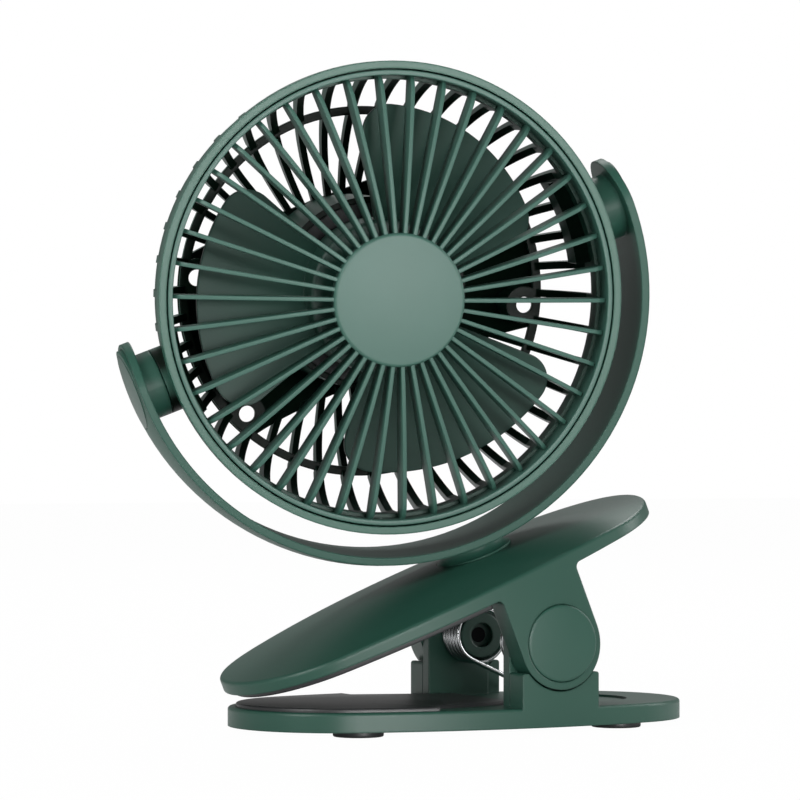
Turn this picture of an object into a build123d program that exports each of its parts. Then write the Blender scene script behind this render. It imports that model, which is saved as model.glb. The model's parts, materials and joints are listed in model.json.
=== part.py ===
from build123d import *
import math
import os

os.makedirs("parts", exist_ok=True)

# All sizes in millimetres, all angles in degrees.
# The origin is the centre of the base on the surface it stands on. +Z is up, +X runs from the jaw
# tip to the finger tail, and the fan looks towards -Y.

# ---------------------------------------------------------------- base
FOOT_HEIGHT = 1.9
FOOT_RADIUS = 8.0
FOOT_SEAT_DEPTH = 0.6
FOOT_CHAMFER = 0.5
FOOT_SPACING_X = 92.0
FOOT_SPACING_Y = 46.0
BASE_HALF_LENGTH = 77.6
BASE_HALF_WIDTH = 40.4
END_RADIUS = 34.8
BASE_THICKNESS = 6.2
BASE_EDGE_RADIUS = 1.0
BASE_WALL = 2.4
BASE_TOP_WALL = 2.0
COVER_THICKNESS = 1.8
COVER_LEDGE = 1.2
SCREW_HEAD_RADIUS = 2.1
SCREW_RADIUS = 1.1
SCREW_LENGTH = 4.2
SCREW_HEAD_HEIGHT = 1.0
SCREW_SLOT_DEPTH = 0.5
SCREW_SLOT_WIDTH = 0.5
SCREW_SLOT_SPAN = 3.0
SCREW_BOSS_RADIUS = 3.0
BASE_SCREW_SPACING_X = 112.0
BASE_SCREW_SPACING_Y = 26.0
TAIL_RECESS_DEPTH = 0.75
TAIL_RECESS_START = 34.0
TAIL_RECESS_HALF_LENGTH = 60.0
TAIL_RECESS_HALF_WIDTH = 29.4
TAIL_RECESS_END_RADIUS = 19.0

# ---------------------------------------------------------------- clip hinge
HINGE_X = 17.2
HINGE_Z = 28.4
LEVER_ANGLE = 22.0
POST_START = 3.0
POST_END = 31.5
POST_TOP = 19.1
POST_INNER_Y = 31.4
POST_CORNER_RADIUS = 0.9
CRADLE_GAP = 0.5
LUG_OUTER_Y = 31.1
LUG_THICKNESS = 4.1
LUG_END = 25.2
SPOOL_RADIUS = 7.4
SPOOL_LENGTH = 11.0
SPOOL_POCKET_RADIUS = 4.0
SPOOL_POCKET_DEPTH = 2.6
PIN_RADIUS = 2.5
PIN_HEAD_RADIUS = 4.5
PIN_HEAD_HEIGHT = 1.4

# ---------------------------------------------------------------- torsion spring
WIRE_RADIUS = 0.8
COIL_RADIUS = 8.9
COIL_INNER_Y = 15.6
COIL_OUTER_Y = 25.9
COIL_FULL_TURNS = 4
BASE_LEG_DROP = 25.0
LEVER_LEG_RISE = 30.0
BRIDGE_BEND_RADIUS = 4.0
SPRING_SEAT_GAP = 0.3
SPRING_SELF_SPAN = 6
GAP_SAMPLES = 900

# ---------------------------------------------------------------- lever
LEVER_CENTRE = -17.0
LEVER_HALF_LENGTH = 78.0
LEVER_HALF_WIDTH = 40.6
LEVER_FLOOR = 21.2
LEVER_CROWN = 30.3
LEVER_LONG_RADIUS = 626.0
LEVER_CROSS_RADIUS = 181.0
LEVER_EDGE_RADIUS = 1.2
LEVER_WALL = 2.2
LEVER_LID_WALL = 2.0
LEVER_FLOOR_THICKNESS = 1.6
LEVER_SCREW_BOSS_TOP = 26.5
LEVER_SCREW_SPACING_X = 104.0
LEVER_SCREW_SPACING_Y = 26.0
EAR_HALF_WIDTH = 14.7
EAR_FILLET = 2.0
EAR_ROOT_HALF_WIDTH = 17.7
EAR_ROOT_HEIGHT = 2.6
HINGE_CAP_RADIUS = 12.2
HINGE_CAP_SEAT_Y = 37.2

# ---------------------------------------------------------------- jaw pads
PAD_INSET = 2.6
LOWER_PAD_THICKNESS = 1.7
PAD_RECESS_DEPTH = 0.5
LOWER_PAD_STEP_X = -24.0
LOWER_PAD_TONGUE_START = 30.0
LOWER_PAD_TONGUE_END = 20.0
LOWER_PAD_END_X = 9.0
UPPER_PAD_THICKNESS = 2.0
UPPER_PAD_END = -17.5

# ---------------------------------------------------------------- swivel
NECK_FLANGE_RADIUS = 12.6
NECK_FLARE_HEIGHT = 2.8
NECK_RADIUS = 10.4
NECK_WELL_DEPTH = 0.9
NECK_STRAIGHT = 0.7
STEM_RADIUS = 6.0
SWIVEL_BOSS_RADIUS = 11.0
SWIVEL_BOSS_FACE = 26.4
WASHER_RADIUS = 9.0
WASHER_THICKNESS = 0.8
SWIVEL_SCREW_RADIUS = 1.5
SWIVEL_SCREW_LENGTH = 7.0
SWIVEL_HEAD_RADIUS = 4.0
SWIVEL_HEAD_HEIGHT = 1.4

# ---------------------------------------------------------------- yoke
PIVOT_HEIGHT = 119.3
YOKE_TURN = 13.6
YOKE_OUTER_RADIUS = 85.4
YOKE_INNER_RADIUS = 82.9
YOKE_WIDTH = 31.0
YOKE_LIP = 1.5
YOKE_CHANNEL_DEPTH = 1.2
YOKE_CROWN = 1.4
END_CAP_RADIUS = 12.3
KNUCKLE_RADIUS = 10.7
KNUCKLE_SINK = 0.5
YOKE_KNUCKLE_FACE = 76.6
HEAD_KNUCKLE_FACE = 76.3
HEAD_KNUCKLE_START = 72.3
PIVOT_SCREW_RADIUS = 2.0
PIVOT_SCREW_HEAD_RADIUS = 4.2
PIVOT_SCREW_HEAD_HEIGHT = 1.5
PIVOT_HEAD_SINK = 0.9
PIVOT_SCREW_END = 69.0

# ---------------------------------------------------------------- head
RIB_COUNT = 42
RIM_FRONT = 18.9
RIM_RADIUS = 75.0
RIM_INNER_RADIUS = 72.6
RIM_STRAIGHT_END = 14.8
RIM_TAPER_END = 8.0
SEAT_LEDGE = 10.0
GRILLE_RING_RADIUS = 72.1
GRILLE_RING_INNER_RADIUS = 70.5
GRILLE_DISC_RADIUS = 21.1
GRILLE_DISC_FRONT = 28.3
GRILLE_DISC_THICKNESS = 2.2
GRILLE_HUB_INNER_RADIUS = 15.0
GRILLE_HUB_BACK = 20.5
FIN_WIDTH = 1.3
FIN_SINK = 0.7
FIN_BEND_RADIUS = 66.0
FIN_BEND_HEIGHT = 19.6
FIN_BOW = 1.0
FIN_OUTER_FRONT = 14.6
FIN_OUTER_BACK = 10.6
SIDE_WALL_RADIUS = 72.6
SIDE_WALL = 1.2
SIDE_WALL_BACK = -4.0
FLANGE_INNER_RADIUS = 69.3
FLANGE_BACK = 5.0
SIDE_RIB_RADIUS = 73.0
SIDE_RIB_WIDTH = 2.4
SIDE_RIB_FRONT = 12.0
RIB_DEPTH = 3.2
# Points of the basket's outer curve as radius and height, with the curve's slope at each.
SHOULDER = (68.6, -17.0)
SHOULDER_SLOPE = 64.0
WAIST = (61.5, -29.0)
WAIST_SLOPE = 56.0
BOWL = (48.1, -44.1)
BOWL_SLOPE = 39.0
BOWL_END = (30.9, -53.4)
BOWL_END_SLOPE = 20.0
MID_RING_RADIUS = 60.7
MID_RING_INNER_RADIUS = 57.9
MID_RING_FRONT = -27.0
MID_RING_BACK = -28.9
BAND_SINK = 0.4
BAND_THICKNESS = 2.2
BAND_HALF_HEIGHT = 31.5
REAR_RIB_WIDTH = 2.1
BOSS_HOLE_RADIUS = 2.7
BOSS_RADIUS = 6.2
BOSS_BORE_RADIUS = 4.8
BOSS_FACE_THICKNESS = 1.6
BOSS_SPACING_X = 99.6
BOSS_SPACING_Y = 47.6
PIVOT_BLOCK_HALF_HEIGHT = 14.0
PIVOT_BLOCK_INNER_RADIUS = 66.5
PIVOT_BLOCK_BACK = -12.0
PIVOT_BLOCK_STEP = -2.0
PIVOT_BLOCK_TAPER = 1.6
PIVOT_BLOCK_TOP = (70.1, 6.5)

# ---------------------------------------------------------------- rear housing
HOUSING_RADIUS = 31.5
HOUSING_WALL = 2.0
HOUSING_FRONT = -13.0
HOUSING_BACK = -54.0
HOUSING_LEDGE = 1.4
MOTOR_PLATE_THICKNESS = 2.0
REAR_CAP_THICKNESS = 2.0
CAP_SCREW_SPACING = 37.0
CAP_SCREW_BOSS_RADIUS = 3.6
CAP_SCREW_BOSS_LENGTH = 6.0
BOARD_THICKNESS = 1.6
BOARD_HALF_LENGTH = 24.0
BOARD_HALF_WIDTH = 14.0
BOARD_POST_RADIUS = 2.4
BOARD_POST_SPACING_X = 40.0
BOARD_POST_SPACING_Y = 20.0
BOARD_POST_LENGTH = 4.5
BOARD_SCREW_RADIUS = 0.8
BOARD_SCREW_HEAD_RADIUS = 1.7
BOARD_SCREW_HEAD_HEIGHT = 0.9
BOARD_SCREW_LENGTH = 4.5
BATTERY_LENGTH = 42.0
BATTERY_WIDTH = 30.0
BATTERY_THICKNESS = 22.0
BATTERY_CORNER_RADIUS = 2.0
BUTTON_RADIUS = 6.0
BUTTON_FLANGE_RADIUS = 7.4
BUTTON_FLANGE_HEIGHT = 1.0
BUTTON_PROUD = 0.9
BUTTON_GAP = 0.2
BUTTON_EDGE_RADIUS = 0.6
SWITCH_SIZE = 6.0
SWITCH_HEIGHT = 2.0
SWITCH_PLUNGER_RADIUS = 1.7
SWITCH_PLUNGER_HEIGHT = 0.8
USB_WIDTH = 9.0
USB_HEIGHT = 3.3
USB_WALL = 0.4
USB_OFFSET = 12.0
USB_DEPTH = 5.0
USB_TONGUE_WIDTH = 6.7
USB_TONGUE_HEIGHT = 0.7
USB_TONGUE_LENGTH = 4.0
LENS_RADIUS = 1.5
LENS_OFFSET = 12.0

# ---------------------------------------------------------------- rotor
HUB_RADIUS = 25.0
HUB_WALL = 2.0
HUB_BACK = -9.0
HUB_FRONT = 10.0
BLADE_COUNT = 3
BLADE_LEADING_RADIUS = 57.0
BLADE_TRAILING_RADIUS = 62.0
BLADE_SWEEP = 80.0
BLADE_ROOT_FRONT = 7.0
BLADE_ROOT_BACK = -7.4
BLADE_TIP_FRONT = 8.4
BLADE_TIP_BACK = -11.8
BLADE_TRIM_FRONT = 11.0
BLADE_TRIM_BACK = -14.0
BLADE_ROOT_THICKNESS = 2.2
BLADE_TIP_THICKNESS = 1.4
BLADE_CORNER_RADIUS = 9.0
BLADE_PHASE = 38.0
BLADE_SECTIONS = 5
BLADE_OVERRUN = 1.06
SHAFT_RADIUS = 1.5
SHAFT_CLEARANCE = 0.04
BUSH_RADIUS = 3.5
BUSH_LENGTH = 3.5
BEARING_TUBE_RADIUS = 5.5
BEARING_TUBE_FRONT = 2.0
STATOR_RADIUS = 18.8
STATOR_CORE_RADIUS = 8.0
STATOR_POLES = 9
STATOR_POLE_WIDTH = 4.0
STATOR_SHOE_WIDTH = 9.5
STATOR_SHOE_DEPTH = 1.8
STATOR_BACK = -9.0
STATOR_FRONT = -1.0
WINDING_THICKNESS = 1.4
AIR_GAP = 0.6
MAGNET_THICKNESS = 2.4
ROTOR_CUP_THICKNESS = 1.0
SHAFT_BOSS_RADIUS = 4.0
SHAFT_BOSS_LENGTH = 4.5
HUB_EDGE_RADIUS = 1.5

# ---------------------------------------------------------------- clearances
SEAM = 0.15
SEAT_GAP = 0.1
FIT_GAP = 0.3
PIN_CLEARANCE = 0.05
PRESSED_CLEARANCE = 0.02

BASE_TOP = FOOT_HEIGHT + BASE_THICKNESS
COVER_TOP = FOOT_HEIGHT + COVER_THICKNESS
CRADLE_RADIUS = EAR_HALF_WIDTH + CRADLE_GAP
LUG_INNER_Y = LUG_OUTER_Y - LUG_THICKNESS
SPOOL_END_Y = LUG_INNER_Y - SPOOL_LENGTH
PIN_HEAD_Y = HINGE_CAP_SEAT_Y - SEAT_GAP - PIN_HEAD_HEIGHT
WELL_FLOOR = LEVER_CROWN - NECK_WELL_DEPTH
NECK_BOTTOM = WELL_FLOOR + SEAT_GAP
STEM_END = SWIVEL_BOSS_FACE - SEAT_GAP
NECK_TOP = PIVOT_HEIGHT - (YOKE_INNER_RADIUS + YOKE_OUTER_RADIUS - YOKE_CHANNEL_DEPTH) / 2
YOKE_CHANNEL_RADIUS = YOKE_OUTER_RADIUS - YOKE_CHANNEL_DEPTH
PIVOT_HEAD_SEAT = YOKE_INNER_RADIUS - PIVOT_HEAD_SINK
HUB_INNER_RADIUS = HUB_RADIUS - HUB_WALL
HOUSING_BORE = HOUSING_RADIUS - HOUSING_WALL
CAP_INNER_FACE = HOUSING_BACK + REAR_CAP_THICKNESS
BOARD_BACK = CAP_INNER_FACE + BOARD_POST_LENGTH
BOARD_FRONT = BOARD_BACK + BOARD_THICKNESS
MOTOR_PLATE_BACK = HOUSING_FRONT - MOTOR_PLATE_THICKNESS
RIB_PITCH = 360 / RIB_COUNT
MAGNET_INNER_RADIUS = STATOR_RADIUS + AIR_GAP
MAGNET_OUTER_RADIUS = MAGNET_INNER_RADIUS + MAGNET_THICKNESS

# ---------------------------------------------------------------- frames
# Lever frame: x towards the finger tail, y across, z along the swivel axis, origin on the hinge.
LEVER_SIN = math.sin(math.radians(LEVER_ANGLE))
LEVER_COS = math.cos(math.radians(LEVER_ANGLE))
LEVER_ALONG = Vector(LEVER_COS, 0, LEVER_SIN)
SWIVEL_UP = Vector(-LEVER_SIN, 0, LEVER_COS)
HINGE_POINT = Vector(HINGE_X, 0, HINGE_Z)
LEVER = Plane(origin=HINGE_POINT, x_dir=LEVER_ALONG, z_dir=SWIVEL_UP)
LEVER_SECTION = Plane(origin=HINGE_POINT, x_dir=LEVER_ALONG, z_dir=(0, -1, 0))
LEVER_MIDDLE = HINGE_POINT + LEVER_ALONG * LEVER_CENTRE
LID = Plane(origin=LEVER_MIDDLE, x_dir=LEVER_ALONG, z_dir=SWIVEL_UP)
LID_SECTION = Plane(origin=LEVER_MIDDLE, x_dir=LEVER_ALONG, z_dir=(0, -1, 0))

# Head frame: x along the tilt pivot to the right-hand end, y along the swivel axis, z forwards.
TURN_SIN = math.sin(math.radians(YOKE_TURN))
TURN_COS = math.cos(math.radians(YOKE_TURN))
PIVOT_POINT = HINGE_POINT + SWIVEL_UP * PIVOT_HEIGHT
PIVOT_ALONG = LEVER_ALONG * TURN_COS + Vector(0, -1, 0) * TURN_SIN
FORWARDS = LEVER_ALONG * -TURN_SIN + Vector(0, -1, 0) * TURN_COS
HEAD = Plane(origin=PIVOT_POINT, x_dir=PIVOT_ALONG, z_dir=FORWARDS)
TOP_SECTION = Plane(origin=PIVOT_POINT, x_dir=SWIVEL_UP, z_dir=PIVOT_ALONG)
PIVOT_END = Plane(origin=PIVOT_POINT, x_dir=FORWARDS, z_dir=PIVOT_ALONG)
FAN_AXIS = Axis(PIVOT_POINT, FORWARDS)
SWIVEL_AXIS = Axis(HINGE_POINT, SWIVEL_UP)


def oval(half_length, half_width, end_radius):
    """Adds an oval of two end arcs and two long side arcs, all tangent, to the current sketch."""
    reach = half_length - end_radius
    side_radius = (reach**2 + half_width**2 - end_radius**2) / (2 * (half_width - end_radius))
    join_x = reach + end_radius * reach / (side_radius - end_radius)
    join_y = end_radius * (side_radius - half_width) / (side_radius - end_radius)
    with BuildLine() as outline:
        ThreePointArc((-join_x, join_y), (0, half_width), (join_x, join_y))
        ThreePointArc((join_x, join_y), (half_length, 0), (join_x, -join_y))
        ThreePointArc((join_x, -join_y), (0, -half_width), (-join_x, -join_y))
        ThreePointArc((-join_x, -join_y), (-half_length, 0), (-join_x, join_y))
    make_face(outline.edges())


def base_oval(inset=0.0):
    """Adds the base's outline, drawn in by the inset, to the current sketch."""
    oval(BASE_HALF_LENGTH - inset, BASE_HALF_WIDTH - inset, END_RADIUS - inset)


def lever_oval(inset=0.0):
    """Adds the lever's outline, drawn in by the inset, to a sketch at the lever's middle."""
    oval(LEVER_HALF_LENGTH - inset, LEVER_HALF_WIDTH - inset, END_RADIUS - inset)


def lower_pad_outline(grow):
    """Adds the lower jaw pad's outline, grown by a clearance, to the current sketch: the oval's
    jaw end, then a tongue that narrows between the posts."""
    base_oval(PAD_INSET - grow)
    with Locations((LOWER_PAD_STEP_X + grow, 0)):
        Rectangle(
            2 * BASE_HALF_LENGTH, 2 * BASE_HALF_WIDTH, align=(Align.MIN, Align.CENTER),
            mode=Mode.SUBTRACT,
        )
    with BuildLine() as tongue:
        Polyline(
            (LOWER_PAD_STEP_X - 1, LOWER_PAD_TONGUE_START + grow),
            (LOWER_PAD_END_X + grow, LOWER_PAD_TONGUE_END + grow),
            (LOWER_PAD_END_X + grow, -LOWER_PAD_TONGUE_END - grow),
            (LOWER_PAD_STEP_X - 1, -LOWER_PAD_TONGUE_START - grow),
            close=True,
        )
    make_face(tongue.edges())


def flat_screws(plane, spacing_x, spacing_y):
    """Adds four countersunk screws whose heads lie in the plane and whose tips point along it."""
    with BuildSketch(plane) as shanks:
        with GridLocations(spacing_x, spacing_y, 2, 2):
            Circle(SCREW_RADIUS)
    extrude(shanks.sketch, amount=SCREW_LENGTH)
    with Locations(plane.offset(SCREW_HEAD_HEIGHT / 2)):
        with GridLocations(spacing_x, spacing_y, 2, 2):
            Cone(SCREW_HEAD_RADIUS, SCREW_RADIUS, SCREW_HEAD_HEIGHT)
    slot = plane.offset(SCREW_SLOT_DEPTH / 2)
    with Locations(slot):
        with GridLocations(spacing_x, spacing_y, 2, 2):
            Box(SCREW_SLOT_SPAN, SCREW_SLOT_WIDTH, SCREW_SLOT_DEPTH, mode=Mode.SUBTRACT)
            Box(SCREW_SLOT_WIDTH, SCREW_SLOT_SPAN, SCREW_SLOT_DEPTH, mode=Mode.SUBTRACT)


def screw_seats(plane, thickness, spacing_x, spacing_y):
    """Cuts four countersunk holes through a plate whose outer face is the plane."""
    clearance = PIN_CLEARANCE
    with BuildSketch(plane) as holes:
        with GridLocations(spacing_x, spacing_y, 2, 2):
            Circle(SCREW_RADIUS + clearance)
    extrude(holes.sketch, amount=thickness, mode=Mode.SUBTRACT)
    with Locations(plane.offset(SCREW_HEAD_HEIGHT / 2)):
        with GridLocations(spacing_x, spacing_y, 2, 2):
            Cone(
                SCREW_HEAD_RADIUS + clearance, SCREW_RADIUS + clearance, SCREW_HEAD_HEIGHT,
                mode=Mode.SUBTRACT,
            )


# ================================================================ base
# Two posts, one on each side, whose tops are hollowed round the lever's ears.
with BuildPart() as post_pair:
    with BuildSketch(Plane.XY.offset(BASE_TOP - BASE_TOP_WALL + FIT_GAP)):
        base_oval()
    extrude(amount=POST_TOP - BASE_TOP + BASE_TOP_WALL - FIT_GAP)
    with BuildSketch(Plane.XZ):
        with BuildLine():
            Polyline(
                (POST_START, 0), (POST_END, 0), (POST_END, POST_TOP), (POST_START, POST_TOP), close=True
            )
        make_face()
        with Locations((HINGE_X, HINGE_Z)):
            Circle(CRADLE_RADIUS, mode=Mode.SUBTRACT)
    extrude(amount=BASE_HALF_WIDTH, both=True, mode=Mode.INTERSECT)
    with BuildSketch(Plane.XY):
        Rectangle(2 * BASE_HALF_LENGTH, 2 * POST_INNER_Y)
    extrude(amount=POST_TOP, mode=Mode.SUBTRACT)
    horn_edges = post_pair.edges().filter_by(Axis.Y).group_by(Axis.Z)[-1]
    fillet(horn_edges, POST_CORNER_RADIUS)

with BuildPart() as base_shell:
    with BuildSketch(Plane.XY.offset(FOOT_HEIGHT)):
        base_oval()
    extrude(amount=BASE_THICKNESS)
    fillet(base_shell.faces().sort_by(Axis.Z)[-1].edges(), BASE_EDGE_RADIUS)
    add(post_pair.part)
    # Hinge lugs with the spools that the spring's coils sit on.
    for side in (1, -1):
        with BuildSketch(Plane.XZ.offset(side * LUG_INNER_Y)):
            lug_radius = (LUG_END - POST_START) / 2
            lug_height = HINGE_Z - BASE_TOP + BASE_TOP_WALL / 2
            with Locations((POST_START + lug_radius, HINGE_Z - lug_height / 2)):
                Rectangle(2 * lug_radius, lug_height)
            with Locations((POST_START + lug_radius, HINGE_Z)):
                Circle(lug_radius)
        extrude(amount=side * LUG_THICKNESS)
        with BuildSketch(Plane.XZ.offset(side * SPOOL_END_Y)):
            with Locations((HINGE_X, HINGE_Z)):
                Circle(SPOOL_RADIUS)
        extrude(amount=side * SPOOL_LENGTH)
        with BuildSketch(Plane.XZ.offset(side * SPOOL_END_Y)):
            with Locations((HINGE_X, HINGE_Z)):
                Circle(PIN_RADIUS + PRESSED_CLEARANCE)
        extrude(amount=side * (SPOOL_LENGTH + LUG_THICKNESS), mode=Mode.SUBTRACT)
        with BuildSketch(Plane.XZ.offset(side * SPOOL_END_Y)):
            with Locations((HINGE_X, HINGE_Z)):
                Circle(SPOOL_POCKET_RADIUS)
        extrude(amount=side * SPOOL_POCKET_DEPTH, mode=Mode.SUBTRACT)
    # Underside: a rebate for the cover and the hollow above it.
    with BuildSketch(Plane.XY.offset(FOOT_HEIGHT)):
        base_oval(BASE_WALL)
    extrude(amount=COVER_THICKNESS, mode=Mode.SUBTRACT)
    with BuildSketch(Plane.XY.offset(COVER_TOP)):
        base_oval(BASE_WALL + COVER_LEDGE)
        with GridLocations(BASE_SCREW_SPACING_X, BASE_SCREW_SPACING_Y, 2, 2):
            Circle(SCREW_BOSS_RADIUS, mode=Mode.SUBTRACT)
    extrude(amount=BASE_TOP - BASE_TOP_WALL - COVER_TOP, mode=Mode.SUBTRACT)
    with BuildSketch(Plane.XY.offset(COVER_TOP)):
        with GridLocations(BASE_SCREW_SPACING_X, BASE_SCREW_SPACING_Y, 2, 2):
            Circle(SCREW_RADIUS + PRESSED_CLEARANCE)
    extrude(amount=SCREW_LENGTH - COVER_THICKNESS + FIT_GAP, mode=Mode.SUBTRACT)
    # Top: the jaw pad's recess and the finger recess in the tail.
    with BuildSketch(Plane.XY.offset(BASE_TOP - PAD_RECESS_DEPTH)):
        lower_pad_outline(SEAM)
    extrude(amount=PAD_RECESS_DEPTH, mode=Mode.SUBTRACT)
    with BuildSketch(Plane.XY.offset(BASE_TOP - TAIL_RECESS_DEPTH)):
        oval(TAIL_RECESS_HALF_LENGTH, TAIL_RECESS_HALF_WIDTH, TAIL_RECESS_END_RADIUS)
        with Locations((TAIL_RECESS_START, 0)):
            Rectangle(
                2 * BASE_HALF_LENGTH, 2 * BASE_HALF_WIDTH, align=(Align.MAX, Align.CENTER),
                mode=Mode.SUBTRACT,
            )
    extrude(amount=TAIL_RECESS_DEPTH, mode=Mode.SUBTRACT)
base_shell.part.label = "base_shell"
export_step(base_shell.part, "parts/base_shell.step")

with BuildPart() as base_cover:
    with BuildSketch(Plane.XY.offset(FOOT_HEIGHT)):
        base_oval(BASE_WALL + SEAM)
    extrude(amount=COVER_THICKNESS)
    with BuildSketch(Plane.XY.offset(FOOT_HEIGHT)):
        with GridLocations(FOOT_SPACING_X, FOOT_SPACING_Y, 2, 2):
            Circle(FOOT_RADIUS + SEAM)
    extrude(amount=FOOT_SEAT_DEPTH, mode=Mode.SUBTRACT)
    screw_seats(
        Plane.XY.offset(FOOT_HEIGHT), COVER_THICKNESS, BASE_SCREW_SPACING_X, BASE_SCREW_SPACING_Y
    )
base_cover.part.label = "base_cover"
export_step(base_cover.part, "parts/base_cover.step")

with BuildPart() as base_screws:
    flat_screws(Plane.XY.offset(FOOT_HEIGHT), BASE_SCREW_SPACING_X, BASE_SCREW_SPACING_Y)
base_screws.part.label = "base_screws"
export_step(base_screws.part, "parts/base_screws.step")

with BuildPart() as base_feet:
    with BuildSketch(Plane.XY):
        with GridLocations(FOOT_SPACING_X, FOOT_SPACING_Y, 2, 2):
            Circle(FOOT_RADIUS)
    extrude(amount=FOOT_HEIGHT + FOOT_SEAT_DEPTH)
    foot_rims = base_feet.edges().group_by(Axis.Z)[0]
    chamfer(foot_rims, FOOT_CHAMFER)
base_feet.part.label = "base_feet"
export_step(base_feet.part, "parts/base_feet.step")

with BuildPart() as lower_jaw_pad:
    with BuildSketch(Plane.XY.offset(BASE_TOP - PAD_RECESS_DEPTH)):
        lower_pad_outline(0.0)
    extrude(amount=LOWER_PAD_THICKNESS)
lower_jaw_pad.part.label = "lower_jaw_pad"
export_step(lower_jaw_pad.part, "parts/lower_jaw_pad.step")

# Two short steel pins: pressed into the lugs and spools, running in the lever's ears.
with BuildPart() as hinge_pins:
    for side in (1, -1):
        with BuildSketch(Plane.XZ.offset(side * (SPOOL_END_Y + SPOOL_POCKET_DEPTH))):
            with Locations((HINGE_X, HINGE_Z)):
                Circle(PIN_RADIUS)
        extrude(amount=side * (PIN_HEAD_Y - SPOOL_END_Y - SPOOL_POCKET_DEPTH))
        with BuildSketch(Plane.XZ.offset(side * PIN_HEAD_Y)):
            with Locations((HINGE_X, HINGE_Z)):
                Circle(PIN_HEAD_RADIUS)
        extrude(amount=side * PIN_HEAD_HEIGHT)
hinge_pins.part.label = "hinge_pins"
export_step(hinge_pins.part, "parts/hinge_pins.step")


# ================================================================ torsion spring
def coil_point(angle, start_angle, start_y, pitch):
    """Wire centre on the near coil at an angle about the hinge, counted from +X towards +Z."""
    turned = math.radians(angle)
    y = start_y + pitch * (angle - start_angle) / 360
    return Vector(
        HINGE_X + COIL_RADIUS * math.cos(turned), y, HINGE_Z + COIL_RADIUS * math.sin(turned)
    )


def coil_tangent(angle, pitch):
    """Direction of the wire at that angle."""
    turned = math.radians(angle)
    rise = pitch / (2 * math.pi * COIL_RADIUS)
    return Vector(-math.sin(turned), rise, math.cos(turned)).normalized()


def biarc_joint(start, start_tangent, end, end_tangent):
    """Point and tangent where two arcs meet that leave the start and reach the end tangentially."""
    chord = end - start
    both = start_tangent + end_tangent
    slack = 4 - both.dot(both)
    across = chord.dot(both)
    reach = (math.sqrt(across**2 + slack * chord.dot(chord)) - across) / slack
    first = start + start_tangent * reach
    second = end - end_tangent * reach
    return (first + second) * 0.5, (second - first).normalized()


# The near half of the wire runs from under the lever's tail, round the coil from its outer end to
# its inner end, down to the base and half across it. The far half mirrors it.
LEG_START_ANGLE = LEVER_ANGLE + 90 + LEVER_LEG_RISE
LEG_END_ANGLE = 270 - BASE_LEG_DROP + 360 * COIL_FULL_TURNS
COIL_PITCH = (COIL_OUTER_Y - COIL_INNER_Y) * 360 / (LEG_END_ANGLE - LEG_START_ANGLE)
QUARTER_TURNS = math.ceil((LEG_END_ANGLE - LEG_START_ANGLE) / 90)

coil_start = coil_point(LEG_START_ANGLE, LEG_START_ANGLE, -COIL_OUTER_Y, COIL_PITCH)
start_direction = coil_tangent(LEG_START_ANGLE, COIL_PITCH)
coil_end = coil_point(LEG_END_ANGLE, LEG_START_ANGLE, -COIL_OUTER_Y, COIL_PITCH)
end_direction = coil_tangent(LEG_END_ANGLE, COIL_PITCH)
start_height = (coil_start - HINGE_POINT).dot(SWIVEL_UP)
leg_height = LEVER_FLOOR - WIRE_RADIUS - SPRING_SEAT_GAP - start_height
lever_leg_end = coil_start + start_direction * (leg_height / start_direction.dot(SWIVEL_UP))
bridge_z = BASE_TOP - TAIL_RECESS_DEPTH + WIRE_RADIUS + SPRING_SEAT_GAP
bridge_corner = coil_end + end_direction * ((bridge_z - coil_end.Z) / end_direction.Z)
bend_angle = math.acos(end_direction.Y)
bend_reach = BRIDGE_BEND_RADIUS * math.tan(bend_angle / 2)
bend_start = bridge_corner - end_direction * bend_reach
bend_end = bridge_corner + Vector(0, 1, 0) * bend_reach

coil_stops = []
for step in range(QUARTER_TURNS + 1):
    angle = LEG_START_ANGLE + (LEG_END_ANGLE - LEG_START_ANGLE) * step / QUARTER_TURNS
    place = coil_point(angle, LEG_START_ANGLE, -COIL_OUTER_Y, COIL_PITCH)
    coil_stops.append((place, coil_tangent(angle, COIL_PITCH)))

with BuildLine() as near_wire:
    Line(lever_leg_end, coil_start)
    for (here, here_direction), (there, there_direction) in zip(coil_stops, coil_stops[1:]):
        middle, middle_direction = biarc_joint(here, here_direction, there, there_direction)
        TangentArc(here, middle, tangent=here_direction)
        TangentArc(middle, there, tangent=middle_direction)
    Line(coil_end, bend_start)
    TangentArc(bend_start, bend_end, tangent=end_direction)
    Line(bend_end, Vector(bend_end.X, 0, bend_end.Z))

with BuildLine() as spring_wire:
    add(near_wire.line)
    mirror(about=Plane.XZ)

with BuildPart() as torsion_spring:
    with BuildSketch(Plane(origin=lever_leg_end, z_dir=start_direction)):
        Circle(WIRE_RADIUS)
    sweep(path=spring_wire.wire())
torsion_spring.part.label = "torsion_spring"
export_step(torsion_spring.part, "parts/torsion_spring.step")

# The least gap between two turns, measured centre to centre on points along the wire.
wire_length = spring_wire.wire().length
samples = [spring_wire.wire().position_at(index / GAP_SAMPLES) for index in range(GAP_SAMPLES + 1)]
skip = math.ceil(SPRING_SELF_SPAN * WIRE_RADIUS * GAP_SAMPLES / wire_length)
least_gap = min(
    (samples[first] - samples[second]).length - 2 * WIRE_RADIUS
    for first in range(0, len(samples))
    for second in range(first + skip, len(samples))
)
print("least gap of the spring to itself, mm", round(least_gap, 3))


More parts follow.
